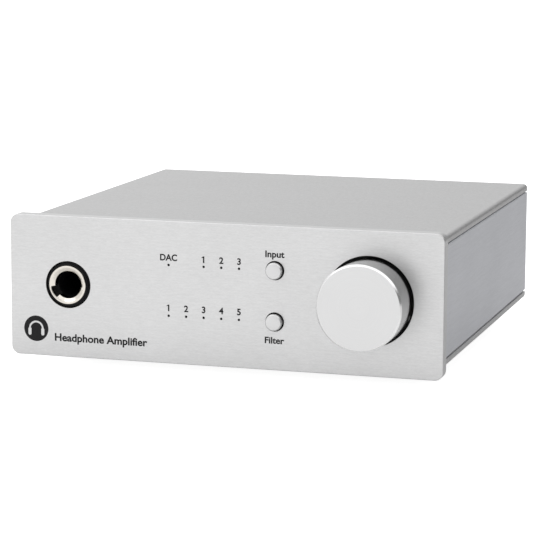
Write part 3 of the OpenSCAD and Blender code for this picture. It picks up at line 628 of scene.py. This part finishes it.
def add_tone(tree, shader, tint, pattern, contrast, mask, dust):
    """Base colour from a tint, varied by a fine pattern and by large soft patches."""
    fine = add_node(tree, "ShaderNodeMix", data_type="RGBA")
    fine.inputs["A"].default_value = shaded(tint, 1 - contrast)
    fine.inputs["B"].default_value = shaded(tint, 1 + contrast)
    patch = add_node(tree, "ShaderNodeMix", data_type="RGBA", blend_type="MULTIPLY")
    patch.inputs["B"].default_value = (1 - dust, 1 - dust, 1 - 1.1 * dust, 1)
    tree.links.new(pattern, fine.inputs["Factor"])
    tree.links.new(mask, patch.inputs["Factor"])
    tree.links.new(fine.outputs["Result"], patch.inputs["A"])
    tree.links.new(patch.outputs["Result"], shader.inputs["Base Color"])


def add_roughness(tree, shader, mask, roughness, spread):
    """Roughness varied by large soft patches."""
    change = fade(tree, mask, 0, 1, roughness - spread, roughness + spread)
    tree.links.new(change, shader.inputs["Roughness"])


def add_bump(tree, shader, height, strength, depth):
    """Fine relief."""
    bump = add_node(tree, "ShaderNodeBump", Strength=strength, Distance=depth)
    tree.links.new(height, bump.inputs["Height"])
    tree.links.new(bump.outputs["Normal"], shader.inputs["Normal"])


def brushed_metal(name, tint, roughness, stretch, contrast, relief, axis=None):
    """Brushed or turned metal. stretch is the count of streaks per metre along X, Y and Z.

    With an axis, the streaks are rings round it."""
    tree, shader, place = new_material(name)
    shader.inputs["Metallic"].default_value = 1
    pattern = place
    if axis is not None:
        centre = add_node(tree, "ShaderNodeMapping", Location=-axis)
        rings = group_node(tree, "Rings")
        tree.links.new(place, centre.inputs["Vector"])
        tree.links.new(centre.outputs["Vector"], rings.inputs["Vector"])
        pattern = rings.outputs["Vector"]
    mapping = add_node(tree, "ShaderNodeMapping", Scale=stretch)
    grain = group_node(tree, "Grain")
    handling = group_node(tree, "Handling")
    tree.links.new(pattern, mapping.inputs["Vector"])
    tree.links.new(mapping.outputs["Vector"], grain.inputs["Vector"])
    tree.links.new(place, handling.inputs["Vector"])
    add_tone(tree, shader, tint, grain.outputs["Grain"], contrast, handling.outputs["Mask"], 0.015)
    add_roughness(tree, shader, handling.outputs["Mask"], roughness, 0.025)
    add_bump(tree, shader, grain.outputs["Height"], relief, BRUSHED_DEPTH)


def moulded(
    name, tint, roughness, metallic=0.0, contrast=0.08, relief=0.25, scale=4000.0, coat=0.0, shine=0.5
):
    """Moulded, plated, painted or cast surface with a fine even texture."""
    tree, shader, place = new_material(name)
    shader.inputs["Specular IOR Level"].default_value = shine
    shader.inputs["Metallic"].default_value = metallic
    shader.inputs["Coat Weight"].default_value = coat
    shader.inputs["Coat Roughness"].default_value = 0.08
    texture = group_node(tree, "Moulding")
    texture.inputs["Scale"].default_value = scale
    handling = group_node(tree, "Handling")
    handling.inputs["Size"].default_value = 160
    tree.links.new(place, texture.inputs["Vector"])
    tree.links.new(place, handling.inputs["Vector"])
    add_tone(tree, shader, tint, texture.outputs["Speckle"], contrast, handling.outputs["Mask"], 0.05)
    add_roughness(tree, shader, handling.outputs["Mask"], roughness, 0.05)
    add_bump(tree, shader, texture.outputs["Height"], relief, MOULDED_DEPTH)


class AMP_OT_finishes(bpy.types.Operator):
    """Make the materials and give the hidden parts theirs"""

    bl_idname = "amplifier.finishes"
    bl_label = "Finishes"

    def execute(self, context):
        tints = context.scene.amplifier_colours
        build_grain()
        build_rings()
        build_handling()
        build_moulding()
        along_x = (380, 2300, 2300)
        along_y = (1700, 70, 1700)
        turning = (2400, 900, 1)
        brushed_metal("fascia", tints.fascia, 0.36, along_x, 0.055, 0.3)
        brushed_metal("cover", tints.cover, 0.4, (1300, 500, 1300), 0.06, 0.2)
        brushed_metal("side", tints.side, 0.38, along_y, 0.04, 0.2)
        brushed_metal("rear", tints.rear, 0.4, (900, 900, 900), 0.025, 0.2)
        brushed_metal("knob", tints.knob, 0.3, turning, 0.015, 0.12, KNOB_MIDDLE)
        # The knob's side: a real smoother turning, and a darker copy of the knob's tint that is painted
        # shade for the dark recess that the side reflects
        brushed_metal("knob_side_painted_shade", shaded(tints.knob, 0.68)[:3], 0.15, turning, 0.05, 0.1, KNOB_MIDDLE)
        brushed_metal("knob_edge", tints.knob_edge, 0.2, turning, 0.01, 0.05, KNOB_MIDDLE)
        for node in ("input_button", "filter_button"):
            brushed_metal(node, tints.button, 0.28, turning, 0.015, 0.12, middle_of(node))
        for name, *values in (
            ("nickel", 0.22, 1, 0.03, 0.08),
            ("contact", 0.2, 1, 0.03, 0.06),
            ("steel", 0.32, 1, 0.05, 0.15),
            ("crystal_can", 0.3, 1, 0.04, 0.1),
            ("heat_sink", 0.42, 0.6, 0.08, 0.2),
            ("black_screw", 0.38, 0.7, 0.1, 0.2),
            ("inner_plate", 0.6, 0, 0.1, 0.3),
            ("shutter_plastic", 0.28, 0, 0.08, 0.1),
            ("lamp", 0.25, 0, 0.04, 0.1),
            ("receiver", 0.12, 0, 0.05, 0.05, 4000, 0.5),
            ("pot_body", 0.5),
            ("circuit_board", 0.3, 0, 0.12, 0.3, 1500, 0.4),
            ("chip", 0.5),
            ("capacitor_sleeve", 0.25, 0, 0.06, 0.1),
            ("film_capacitor", 0.22, 0, 0.06, 0.2, 1200),
            ("white_plastic", 0.32, 0, 0.03, 0.1),
        ):
            moulded(name, SLOT_COLOUR[name], *values)
        black = shaded(SLOT_COLOUR["black_plastic"], 0.5)[:3]
        pipe = shaded(SLOT_COLOUR["light_pipe"], 0.15)[:3]
        moulded("black_plastic", black, 0.4, 0, 0.1, 0.3, shine=0.12)
        moulded("light_pipe", pipe, 0.3, 0, 0.05, 0.05, shine=0.1)
        moulded("ferrule", tints.ferrule, 0.1, 1, 0.02, 0.05)
        moulded("rubber", tints.rubber, 0.78, 0, 0.15, 0.5, 2500)
        moulded("coaxial_insulator", tints.coaxial, 0.3, 0, 0.04, 0.1)
        moulded("right_insulator", tints.line_right, 0.3, 0, 0.04, 0.1)
        moulded("left_insulator", tints.line_left, 0.3, 0, 0.03, 0.1)
        moulded("ink", tints.ink, 0.6, 0, 0.15, 0.1, 3000, shine=0.2)
        for finish, nodes in KEPT_NODES.items():
            for node in nodes:
                mesh = frame["nodes"][node].data
                mesh.materials.clear()
                mesh.materials.append(bpy.data.materials["finish_" + finish])
        return {"FINISHED"}


# ---------- Pieces ----------


def through_cutter(middle, steps, *profile):
    """A cutter for a round hole, from (radius, place) points, that runs out through the fascia's back."""
    last = (profile[-1][0], FASCIA_HIGH.y + MM)
    return turned("hole", [(0, profile[0][1]), *profile, last, (0, last[1])], middle, steps)


def hole_cutter(middle, radius, broken, steps):
    """A cutter for a hole right through the fascia, with a broken edge at the front."""
    front = FASCIA_LOW.y
    wide = radius + broken
    return through_cutter(middle, steps, (wide, front - MM), (wide, front), (radius, front + broken))


class AMP_OT_fascia(bpy.types.Operator):
    """Build the thick brushed fascia with its holes"""

    bl_idname = "amplifier.fascia"
    bl_label = "Fascia"

    def execute(self, context):
        sizes = context.scene.amplifier_sizes
        front = FASCIA_LOW.y
        plate = add_block("fascia", FASCIA_LOW, FASCIA_HIGH)
        edit(plate)
        pick(plate, "EDGE", lambda edge: run_along(edge, BACK))
        bpy.ops.mesh.bevel(offset=sizes.corner, segments=14)
        pick(plate, "EDGE", lambda edge: lies_at(edge, BACK, front))
        bpy.ops.mesh.bevel(offset=sizes.chamfer, segments=2, profile=0.5)
        deselect()
        broken = sizes.hole_break
        knob_hole = (KNOB_HIGH.x - KNOB_LOW.x) / 2 + sizes.knob_gap
        nose_hole = sizes.nose_radius + sizes.nose_gap
        key_hole = sizes.button_radius + sizes.button_gap
        cutters = [
            hole_cutter(KNOB_MIDDLE, knob_hole, broken, FINE),
            hole_cutter(middle_of("headphone_jack_ferrule"), nose_hole, broken, FINE),
        ]
        for node in ("input_button", "filter_button"):
            cutters.append(hole_cutter(middle_of(node), key_hole, broken, MIDDLE))
        narrow = sizes.indicator_radius
        step = front + sizes.indicator_depth
        profile = ((narrow, front - MM), (narrow, step), (sizes.pipe_hole, step))
        for middle in middles("indicator_light_pipes"):
            cutters.append(through_cutter(middle, SMALL, *profile))
        for middle in middles("fascia_screws"):
            start = FASCIA_HIGH.y - sizes.screw_depth
            cutters.append(through_cutter(middle, SMALL, (sizes.screw_hole, start)))
        cut(plate, cutters)
        smoothed(plate)
        installed(plate, CASE, "fascia", "fascia", "front_panel")
        return {"FINISHED"}


class AMP_OT_covers(bpy.types.Operator):
    """Build the top and bottom covers"""

    bl_idname = "amplifier.covers"
    bl_label = "Covers"

    def execute(self, context):
        soft = context.scene.amplifier_sizes.cover_edge
        cleaned((node + "_sheet", node, "cover", soft) for node in ("top_cover", "bottom_cover"))
        return {"FINISHED"}


class AMP_OT_side_profiles(bpy.types.Operator):
    """Build the two extruded side profiles"""

    bl_idname = "amplifier.side_profiles"
    bl_label = "Side profiles"

    def execute(self, context):
        soft = context.scene.amplifier_sizes.cover_edge
        cleaned((side + "_wall", side + "_side_profile", "side", soft) for side in ("left", "right"))
        return {"FINISHED"}


class AMP_OT_rear_panel(bpy.types.Operator):
    """Build the rear panel and its four screws"""

    bl_idname = "amplifier.rear_panel"
    bl_label = "Rear panel"

    def execute(self, context):
        soft = context.scene.amplifier_sizes.soft_edge
        cleaned([
            ("rear_plate", "rear_panel", "rear", soft),
            ("rear_screws", "rear_panel_screws", "black_screw", soft),
        ])
        return {"FINISHED"}


class AMP_OT_knob(bpy.types.Operator):
    """Build the volume knob with its polished chamfer, and its grub screw"""

    bl_idname = "amplifier.knob"
    bl_label = "Volume knob"

    def execute(self, context):
        sizes = context.scene.amplifier_sizes
        front = KNOB_LOW.y
        radius = (KNOB_HIGH.x - KNOB_LOW.x) / 2
        bevel = sizes.knob_chamfer
        pocket = radius - sizes.knob_wall
        web = FASCIA_LOW.y - sizes.knob_web
        bore = sizes.knob_bore
        end = front + sizes.knob_bore_end
        profile = [(0, front), (radius - bevel, front), (radius, front + bevel), (radius, KNOB_HIGH.y)]
        profile += [(pocket, KNOB_HIGH.y), (pocket, web), (bore, web), (bore, end), (0, end)]
        knob = turned("volume_knob_cap", profile, KNOB_MIDDLE, FINE)
        grub = middle_of("knob_grub_screw")
        start = KNOB_LOW.z - MM
        hole = [(0, start), (sizes.grub_hole, start), (sizes.grub_hole, grub.z), (0, grub.z)]
        cut(knob, [turned("hole", hole, grub, SMALL, UP)])
        smoothed(knob, FINE_EDGE)
        installed(knob, "volume_control", "knob", "knob", "volume_knob")
        for finish in ("knob_side_painted_shade", "knob_edge"):
            knob.data.materials.append(bpy.data.materials["finish_" + finish])
        # Chamfer faces take the polished finish; side faces take the darker copy of the knob's finish, with
        # its painted shade
        for face in knob.data.polygons:
            if face.center.y < front + bevel and -0.95 < face.normal.y < -0.3:
                face.material_index = 2
            elif abs(face.normal.y) < 0.3:
                face.material_index = 1
        cleaned([("grub_screw", "knob_grub_screw", "steel", sizes.soft_edge)], "volume_control")
        return {"FINISHED"}


class AMP_OT_buttons(bpy.types.Operator):
    """Build the two round buttons"""

    bl_idname = "amplifier.buttons"
    bl_label = "Buttons"

    def execute(self, context):
        sizes = context.scene.amplifier_sizes
        low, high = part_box("input_button")
        middle = (low + high) / 2
        radius = sizes.button_radius
        bevel = sizes.button_chamfer
        flange = (high.x - low.x) / 2
        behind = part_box("front_plate")[1].y + BUTTON_PLAY
        stem = sizes.button_stem
        end = behind + sizes.button_flange
        profile = [(0, low.y), (radius - bevel, low.y), (radius, low.y + bevel), (radius, behind)]
        profile += [(flange, behind), (flange, end), (stem, end), (stem, high.y), (0, high.y)]
        button = turned("input_key_cap", profile, middle)
        smoothed(button, FINE_EDGE)
        twin = copied(button, "filter_key_cap", middle_of("filter_button") - middle)
        installed(button, "input_key", "button", "input_button", "input_button")
        installed(twin, "filter_key", "button", "filter_button", "filter_button")
        return {"FINISHED"}


class AMP_OT_headphone_jack(bpy.types.Operator):
    """Build the headphone jack with its metal ferrule"""

    bl_idname = "amplifier.headphone_jack"
    bl_label = "Headphone jack"

    def execute(self, context):
        soft = context.scene.amplifier_sizes.soft_edge
        cleaned([("jack_moulding", "headphone_jack_housing", "black_plastic", soft)])
        ferrule = refined("jack_ferrule", "headphone_jack_ferrule", FINE_EDGE)
        installed(ferrule, CASE, "nickel", "ferrule", "headphone_jack_ferrule")
        return {"FINISHED"}


class AMP_OT_indicators(bpy.types.Operator):
    """Build the light pipes behind the indicator holes"""

    bl_idname = "amplifier.indicators"
    bl_label = "Indicators"

    def execute(self, context):
        cleaned([("light_pipes", "indicator_light_pipes", "light_pipe", FINE_EDGE)])
        return {"FINISHED"}


def add_label(name, words, middle_x, line_z, letter, width, rear=False):
    """A printed label: its words fitted to a letter height and a width, on the fascia or the rear panel."""
    ink = bpy.context.scene.amplifier_sizes.ink
    turn = math.pi if rear else 0.0
    deselect()
    bpy.ops.object.text_add(location=(0, 0, 0), rotation=(math.pi / 2, 0, turn))
    label = bpy.context.object
    label.data.body = words
    label.data.align_x = "CENTER"
    label.data.size = letter / CAPITAL
    label.data.extrude = ink / 2
    label.data.offset = 0.04 * letter
    label.data.resolution_u = 5
    bpy.ops.object.convert(target="MESH")
    label = bpy.context.object
    label.name = name
    bpy.ops.object.transform_apply(location=True, rotation=True, scale=True)
    xs = [corner.co.x for corner in label.data.vertices]
    if width:
        label.scale.x = width / (max(xs) - min(xs))
    label.location.x = middle_x - label.scale.x * (max(xs) + min(xs)) / 2
    label.location.y = REAR_HIGH.y + ink / 2 if rear else FASCIA_LOW.y - ink / 2
    label.location.z = line_z
    bpy.ops.object.transform_apply(location=True, rotation=True, scale=True)
    edit(label)
    bpy.ops.mesh.remove_doubles(threshold=SAME_PLACE / 10)
    deselect()
    if words == "1":
        label = joined([label, add_flag(label, rear)], name)
        deselect()
    return label


def add_flag(digit, rear):
    """The short slanted stroke at the top of a figure one, reaching a little into the upright."""
    low, high = (Vector(corner) for corner in (digit.bound_box[0], digit.bound_box[6]))
    rise = high.z - low.z
    side = -1 if rear else 1
    edge = high.x if rear else low.x
    outline = [(0.02, 0), (0.02, -0.17), (-0.21, -0.28), (-0.21, -0.14)]
    points = [Vector((edge + side * x * rise, low.y, high.z + z * rise)) for x, z in outline]
    return extruded("flag", points, Vector((0, high.y - low.y, 0)))


def arc(middle, radius, start, end, steps):
    """Points on an arc in the plane of the fascia, between two angles in degrees."""
    points = []
    for i in range(steps + 1):
        angle = math.radians(start + (end - start) * i / steps)
        points.append(middle + RIGHT * radius * math.cos(angle) + UP * radius * math.sin(angle))
    return points


def headphone_sign(middle, radius, ink):
    """A plain round sign with a pair of headphones left out of the ink."""
    front = middle - BACK * ink
    disc = extruded("headphone_sign", arc(front, radius, 0, 354, 59), BACK * ink)
    start = front - BACK * MM
    band = arc(start, 0.6 * radius, 0, 180, 24) + arc(start, 0.46 * radius, 180, 0, 24)
    through = BACK * 2 * MM
    half_x = 0.13 * radius
    half_z = 0.3 * radius
    for side in (-1, 1):
        cup = start + RIGHT * side * 0.53 * radius - UP * 0.24 * radius
        outline = arc(cup + UP * (half_z - half_x), half_x, 0, 180, 12)
        outline += arc(cup - UP * (half_z - half_x), half_x, 180, 360, 12)
        cut(disc, [extruded("cup", outline, through)])
    cut(disc, [extruded("band", band, through)])
    return disc


class AMP_OT_labels(bpy.types.Operator):
    """Print the labels on the fascia and the rear panel"""

    bl_idname = "amplifier.labels"
    bl_label = "Labels"

    def execute(self, context):
        sizes = context.scene.amplifier_sizes
        text = context.scene.amplifier_labels
        base = FASCIA_LOW.z
        letter = text.letter
        spots = sorted(middles("indicator_light_pipes"), key=lambda spot: (-round(spot.z, 4), spot.x))
        upper, lower = spots[:4], spots[4:]
        first = upper[0]
        line = first.z + text.converter_rise
        labels = [add_label("label_converter", "DAC", first.x, line, letter, text.converter_width)]
        for row, places, rise in (
            ("input", upper[1:], text.digit_rise),
            ("filter", lower, text.low_digit_rise),
        ):
            for number, spot in enumerate(places, 1):
                name = f"label_{row}_{number}"
                labels.append(add_label(name, str(number), spot.x, spot.z + rise, letter, 0))
        for node, words, width, rise in (
            ("input_button", "Input", text.input_width, text.input_rise),
            ("filter_button", "Filter", text.filter_width, text.filter_rise),
        ):
            middle = middle_of(node)
            labels.append(add_label("label_" + node, words, middle.x, middle.z + rise, letter, width))
        caption_x = text.caption_left + text.caption_width / 2
        caption_z = base + text.caption_rise
        size = (text.caption_letter, text.caption_width)
        labels.append(add_label("label_caption", "Headphone Amplifier", caption_x, caption_z, *size))
        sign = Vector((text.sign_x, FASCIA_LOW.y, base + text.sign_rise))
        labels.append(headphone_sign(sign, text.sign_radius, sizes.ink))
        rear_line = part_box("line_out_left_socket")[1].z + REAR_LABEL_RISE
        for node, words in (
            ("usb_socket_shell", "1"),
            ("optical_socket_housing", "2"),
            ("coaxial_socket", "3"),
            ("line_out_right_socket", "R"),
            ("line_out_left_socket", "L"),
        ):
            place = (middle_of(node).x, rear_line)
            labels.append(add_label("label_rear_" + words, words, *place, text.rear_letter, 0, True))
        for label in labels:
            slot = "rear" if "rear" in label.name else "fascia"
            installed(label, CASE, slot, "ink")
        return {"FINISHED"}


class AMP_OT_phono_sockets(bpy.types.Operator):
    """Build the three phono sockets with their insulators and centre contacts"""

    bl_idname = "amplifier.phono_sockets"
    bl_label = "Phono sockets"

    def execute(self, context):
        sizes = context.scene.amplifier_sizes
        face = REAR_HIGH.y
        low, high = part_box("coaxial_socket")
        middle = (low + high) / 2
        flange = (high.x - low.x) / 2
        barrel = flange - sizes.phono_flange_reach
        neck = barrel + sizes.phono_neck_reach
        bore = barrel - sizes.phono_wall
        front = face + sizes.phono_flange
        section = [(bore, low.y), (neck, low.y), (neck, face), (flange, face), (flange, front)]
        section += [(barrel, front), (barrel, high.y), (bore, high.y)]
        shell = turned("coaxial_shell", section, middle, closed=True)
        smoothed(shell, 2 * sizes.soft_edge)
        inner_low, inner_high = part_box("phono_insulators")
        pin = sizes.phono_pin_hole
        tube = pin + CONTACT_WALL
        mouth = inner_high.y
        section = [(tube, inner_low.y), (bore, inner_low.y), (bore, mouth), (tube, mouth)]
        insulator = turned("coaxial_insulator_ring", section, middle, closed=True)
        smoothed(insulator, 2 * sizes.soft_edge)
        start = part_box("phono_centre_contacts")[0].y
        end = mouth - sizes.phono_pin_depth
        profile = [(0, start), (tube, start), (tube, mouth), (pin, mouth), (pin, end), (0, end)]
        contact = turned("coaxial_contact", profile, middle)
        smoothed(contact, sizes.soft_edge)
        for key in ("right", "left"):
            node = f"line_out_{key}_socket"
            shift = middle_of(node) - middle
            piece = copied(shell, key + "_shell", shift)
            installed(piece, CASE, "nickel", "nickel", node)
            piece = copied(insulator, key + "_insulator_ring", shift)
            installed(piece, CASE, "socket_insulator", key + "_insulator", "phono_insulators")
            piece = copied(contact, key + "_contact", shift)
            installed(piece, CASE, "contact", "contact", "phono_centre_contacts")
        installed(shell, CASE, "nickel", "nickel", "coaxial_socket")
        installed(insulator, CASE, "socket_insulator", "coaxial_insulator", "phono_insulators")
        installed(contact, CASE, "contact", "contact", "phono_centre_contacts")
        return {"FINISHED"}


class AMP_OT_usb_socket(bpy.types.Operator):
    """Build the USB socket with the contacts on its tongue"""

    bl_idname = "amplifier.usb_socket"
    bl_label = "USB socket"

    def execute(self, context):
        sizes = context.scene.amplifier_sizes
        cleaned([
            ("usb_shell", "usb_socket_shell", "nickel", sizes.soft_edge),
            ("usb_insert", "usb_socket_insert", "white_plastic", sizes.soft_edge),
        ])
        low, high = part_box("usb_socket_insert")
        middle = (low + high) / 2
        tip = high.y - STRIP_SETBACK
        strips = []
        for side in (-1, 1):
            level = middle.z + side * sizes.tongue_height / 2
            for step in (-1, 1):
                x = middle.x + step * STRIP_PLACE
                end = tip - sizes.strip_length
                corner = Vector((x - sizes.strip_width / 2, end, level - sizes.strip_height))
                far = Vector((x + sizes.strip_width / 2, tip, level + sizes.strip_height))
                strip = add_block("strip", corner, far)
                edit(strip)
                pick(strip, "EDGE", lambda edge: run_along(edge, RIGHT) and lies_at(edge, BACK, far.y))
                bpy.ops.mesh.bevel(offset=STRIP_BEVEL, segments=2)
                deselect()
                strips.append(smoothed(strip, STRIP_EDGE))
        installed(joined(strips, "usb_contacts"), CASE, "contact", "contact")
        return {"FINISHED"}


class AMP_OT_optical_socket(bpy.types.Operator):
    """Build the optical socket, its shutter, its pin and its receiver"""

    bl_idname = "amplifier.optical_socket"
    bl_label = "Optical socket"

    def execute(self, context):
        soft = context.scene.amplifier_sizes.soft_edge
        cleaned([("optical_moulding", "optical_socket_housing", "black_plastic", soft)])
        flap = ("optical_shutter_flap", "optical_socket_shutter", "shutter_plastic", soft)
        cleaned([flap], "optical_shutter")
        cleaned([
            ("optical_shutter_pin", "optical_socket_pin", "steel", FINE_EDGE),
            ("optical_window", "optical_receiver", "receiver", soft),
        ])
        return {"FINISHED"}


class AMP_OT_power_inlet(bpy.types.Operator):
    """Build the power inlet and its centre pin"""

    bl_idname = "amplifier.power_inlet"
    bl_label = "Power inlet"

    def execute(self, context):
        soft = context.scene.amplifier_sizes.soft_edge
        cleaned([
            ("inlet_moulding", "power_inlet_housing", "black_plastic", soft),
            ("inlet_pin", "power_inlet_pin", "nickel", soft),
        ])
        return {"FINISHED"}


class AMP_OT_feet(bpy.types.Operator):
    """Build the four rubber feet and their screws"""

    bl_idname = "amplifier.feet"
    bl_label = "Feet"

    def execute(self, context):
        sizes = context.scene.amplifier_sizes
        boxes = solids("rubber_feet")
        low, high = boxes[0]
        radius = (high.x - low.x) / 2
        recess = sizes.foot_recess
        hole = sizes.foot_hole
        depth = low.z + sizes.foot_recess_depth
        section = [(recess, low.z), (radius - sizes.foot_bevel, low.z), (radius, low.z + sizes.foot_bevel)]
        section += [(radius, high.z), (hole, high.z), (hole, depth), (recess, depth)]
        first = turned("rubber_foot_1", section, (low + high) / 2, axis=UP, closed=True)
        smoothed(first, 4 * sizes.soft_edge)
        feet = [first]
        for number, (other_low, other_high) in enumerate(boxes[1:], 2):
            feet.append(copied(first, f"rubber_foot_{number}", (other_low + other_high - low - high) / 2))
        for foot in feet:
            installed(foot, CASE, "foot_rubber", "rubber", "rubber_feet")
        cleaned([("foot_fixings", "foot_screws", "steel", sizes.soft_edge)])
        return {"FINISHED"}


# ---------- Stage ----------


def add_camera(stage):
    """The camera, aimed at a point on the front of the fascia."""
    aim = Vector((stage.aim_x, FASCIA_LOW.y, FASCIA_LOW.z + stage.aim_z))
    away = Vector((math.sin(stage.azimuth), -math.cos(stage.azimuth), math.tan(stage.elevation)))
    away.normalize()
    turn = (-away).to_track_quat("-Z", "Y") @ Quaternion((0, 0, 1), stage.roll)
    deselect()
    bpy.ops.object.camera_add(location=aim + away * stage.distance, rotation=turn.to_euler())
    camera = bpy.context.object
    camera.name = "camera"
    camera.data.lens = stage.lens
    camera.data.sensor_width = 36
    camera.data.clip_start = 0.01
    camera.data.clip_end = 100
    bpy.context.scene.camera = camera


def add_floor(stage):
    """A wide pale floor that stays white towards the camera."""
    deselect()
    bpy.ops.mesh.primitive_plane_add(size=16, location=(0, 0, 0))
    floor = bpy.context.object
    floor.name = "floor"
    tree, shader, place = new_material("floor")
    shader.inputs["Base Color"].default_value = shaded(stage.floor_colour, 1)
    shader.inputs["Roughness"].default_value = 0.9
    shader.inputs["Specular IOR Level"].default_value = 0.1
    split = add_node(tree, "ShaderNodeSeparateXYZ")
    path = add_node(tree, "ShaderNodeLightPath")
    glow = add_node(tree, "ShaderNodeMath", operation="MULTIPLY_ADD")
    glow.inputs[1].default_value = stage.floor_glow
    tree.links.new(place, split.inputs["Vector"])
    edge = FASCIA_LOW.y
    end = FASCIA_HIGH.x
    lit = fade(
        tree, split.outputs["Y"], edge - 40 * MM, edge + 20 * MM, stage.floor_front, stage.floor_behind
    )
    dimmed = fade(tree, split.outputs["X"], end + 10 * MM, end + 70 * MM, 1, 0.3)
    tree.links.new(combined(tree, "MULTIPLY", lit, dimmed), glow.inputs[2])
    shader.inputs["Emission Color"].default_value = (1, 1, 1, 1)
    tree.links.new(path.outputs["Is Camera Ray"], glow.inputs[0])
    tree.links.new(glow.outputs["Value"], shader.inputs["Emission Strength"])
    floor.data.materials.append(bpy.data.materials["finish_floor"])


def add_sky(stage):
    """Soft light from all round: bright on the left and overhead, dimmer behind, dim on the right."""
    world = bpy.data.worlds.new("studio")
    bpy.context.scene.world = world
    world.use_nodes = True
    tree = world.node_tree
    place = add_node(tree, "ShaderNodeTexCoord")
    split = add_node(tree, "ShaderNodeSeparateXYZ")
    tree.links.new(place.outputs["Generated"], split.inputs["Vector"])
    rim = fade(tree, split.outputs["X"], -1, -0.5, 0.75, 1)
    sides = fade(tree, split.outputs["X"], -0.4, 0.5, stage.sky_left, stage.sky_right)
    depth = fade(tree, split.outputs["Y"], 0.1, 0.9, 1, stage.sky_behind)
    overhead = fade(tree, split.outputs["Z"], 0.3, 0.55, 0, stage.sky_overhead)
    level = combined(tree, "MULTIPLY", combined(tree, "MULTIPLY", rim, sides), depth)
    strongest = combined(tree, "MAXIMUM", level, overhead)
    tree.links.new(strongest, tree.nodes["Background"].inputs["Strength"])
    tree.nodes["Background"].inputs["Color"].default_value = (1, 1, 1, 1)


def add_area_light(name, place, target, width, power):
    """A square soft light aimed at a point."""
    deselect()
    turn = (target - place).to_track_quat("-Z", "Y").to_euler()
    bpy.ops.object.light_add(type="AREA", location=place, rotation=turn)
    light = bpy.context.object
    light.name = name
    light.data.size = width
    light.data.energy = power


class AMP_OT_stage(bpy.types.Operator):
    """Set up the camera, the floor and the lights"""

    bl_idname = "amplifier.stage"
    bl_label = "Stage"

    def execute(self, context):
        stage = context.scene.amplifier_stage
        context.scene.view_settings.view_transform = "Standard"
        context.scene.view_settings.look = "None"
        add_camera(stage)
        add_floor(stage)
        add_sky(stage)
        target = Vector((0, 0, 0.02))
        add_area_light("key_light", Vector((-1.1, -1.3, 1.5)), target, 1.4, stage.key_power)
        return {"FINISHED"}


STEPS = (
    ("finishes", AMP_OT_finishes),
    ("stage", AMP_OT_stage),
    ("fascia", AMP_OT_fascia),
    ("covers", AMP_OT_covers),
    ("side_profiles", AMP_OT_side_profiles),
    ("rear_panel", AMP_OT_rear_panel),
    ("knob", AMP_OT_knob),
    ("buttons", AMP_OT_buttons),
    ("headphone_jack", AMP_OT_headphone_jack),
    ("indicators", AMP_OT_indicators),
    ("labels", AMP_OT_labels),
    ("phono_sockets", AMP_OT_phono_sockets),
    ("usb_socket", AMP_OT_usb_socket),
    ("optical_socket", AMP_OT_optical_socket),
    ("power_inlet", AMP_OT_power_inlet),
    ("feet", AMP_OT_feet),
)


class AMP_PT_panel(bpy.types.Panel):
    """The sizes, the colours and the building steps in the sidebar"""

    bl_idname = "AMP_PT_panel"
    bl_label = "Headphone amplifier"
    bl_space_type = "VIEW_3D"
    bl_region_type = "UI"
    bl_category = "Amplifier"

    def draw(self, context):
        for group in GROUPS:
            column = self.layout.column(align=True)
            settings = getattr(context.scene, group)
            for key in settings.bl_rna.properties.keys():
                if key not in ("rna_type", "name"):
                    column.prop(settings, key)
        for _, step in STEPS:
            self.layout.operator(step.bl_idname)


GROUPS = {
    "amplifier_sizes": AmplifierSizes,
    "amplifier_labels": AmplifierLabels,
    "amplifier_colours": AmplifierColours,
    "amplifier_stage": AmplifierStage,
}


def register():
    """Registers the classes and puts their settings on the scene."""
    for name, group in GROUPS.items():
        bpy.utils.register_class(group)
        setattr(bpy.types.Scene, name, bpy.props.PointerProperty(type=group))
    for _, step in STEPS:
        bpy.utils.register_class(step)
    bpy.utils.register_class(AMP_PT_panel)


def unregister():
    """Takes the classes and the settings away again."""
    bpy.utils.unregister_class(AMP_PT_panel)
    for _, step in reversed(STEPS):
        bpy.utils.unregister_class(step)
    for name, group in GROUPS.items():
        delattr(bpy.types.Scene, name)
        bpy.utils.unregister_class(group)


def main():
    """Builds the whole model."""
    register()
    for name, _ in STEPS:
        getattr(bpy.ops.amplifier, name)()
    deselect()


if __name__ == "__main__":
    main()
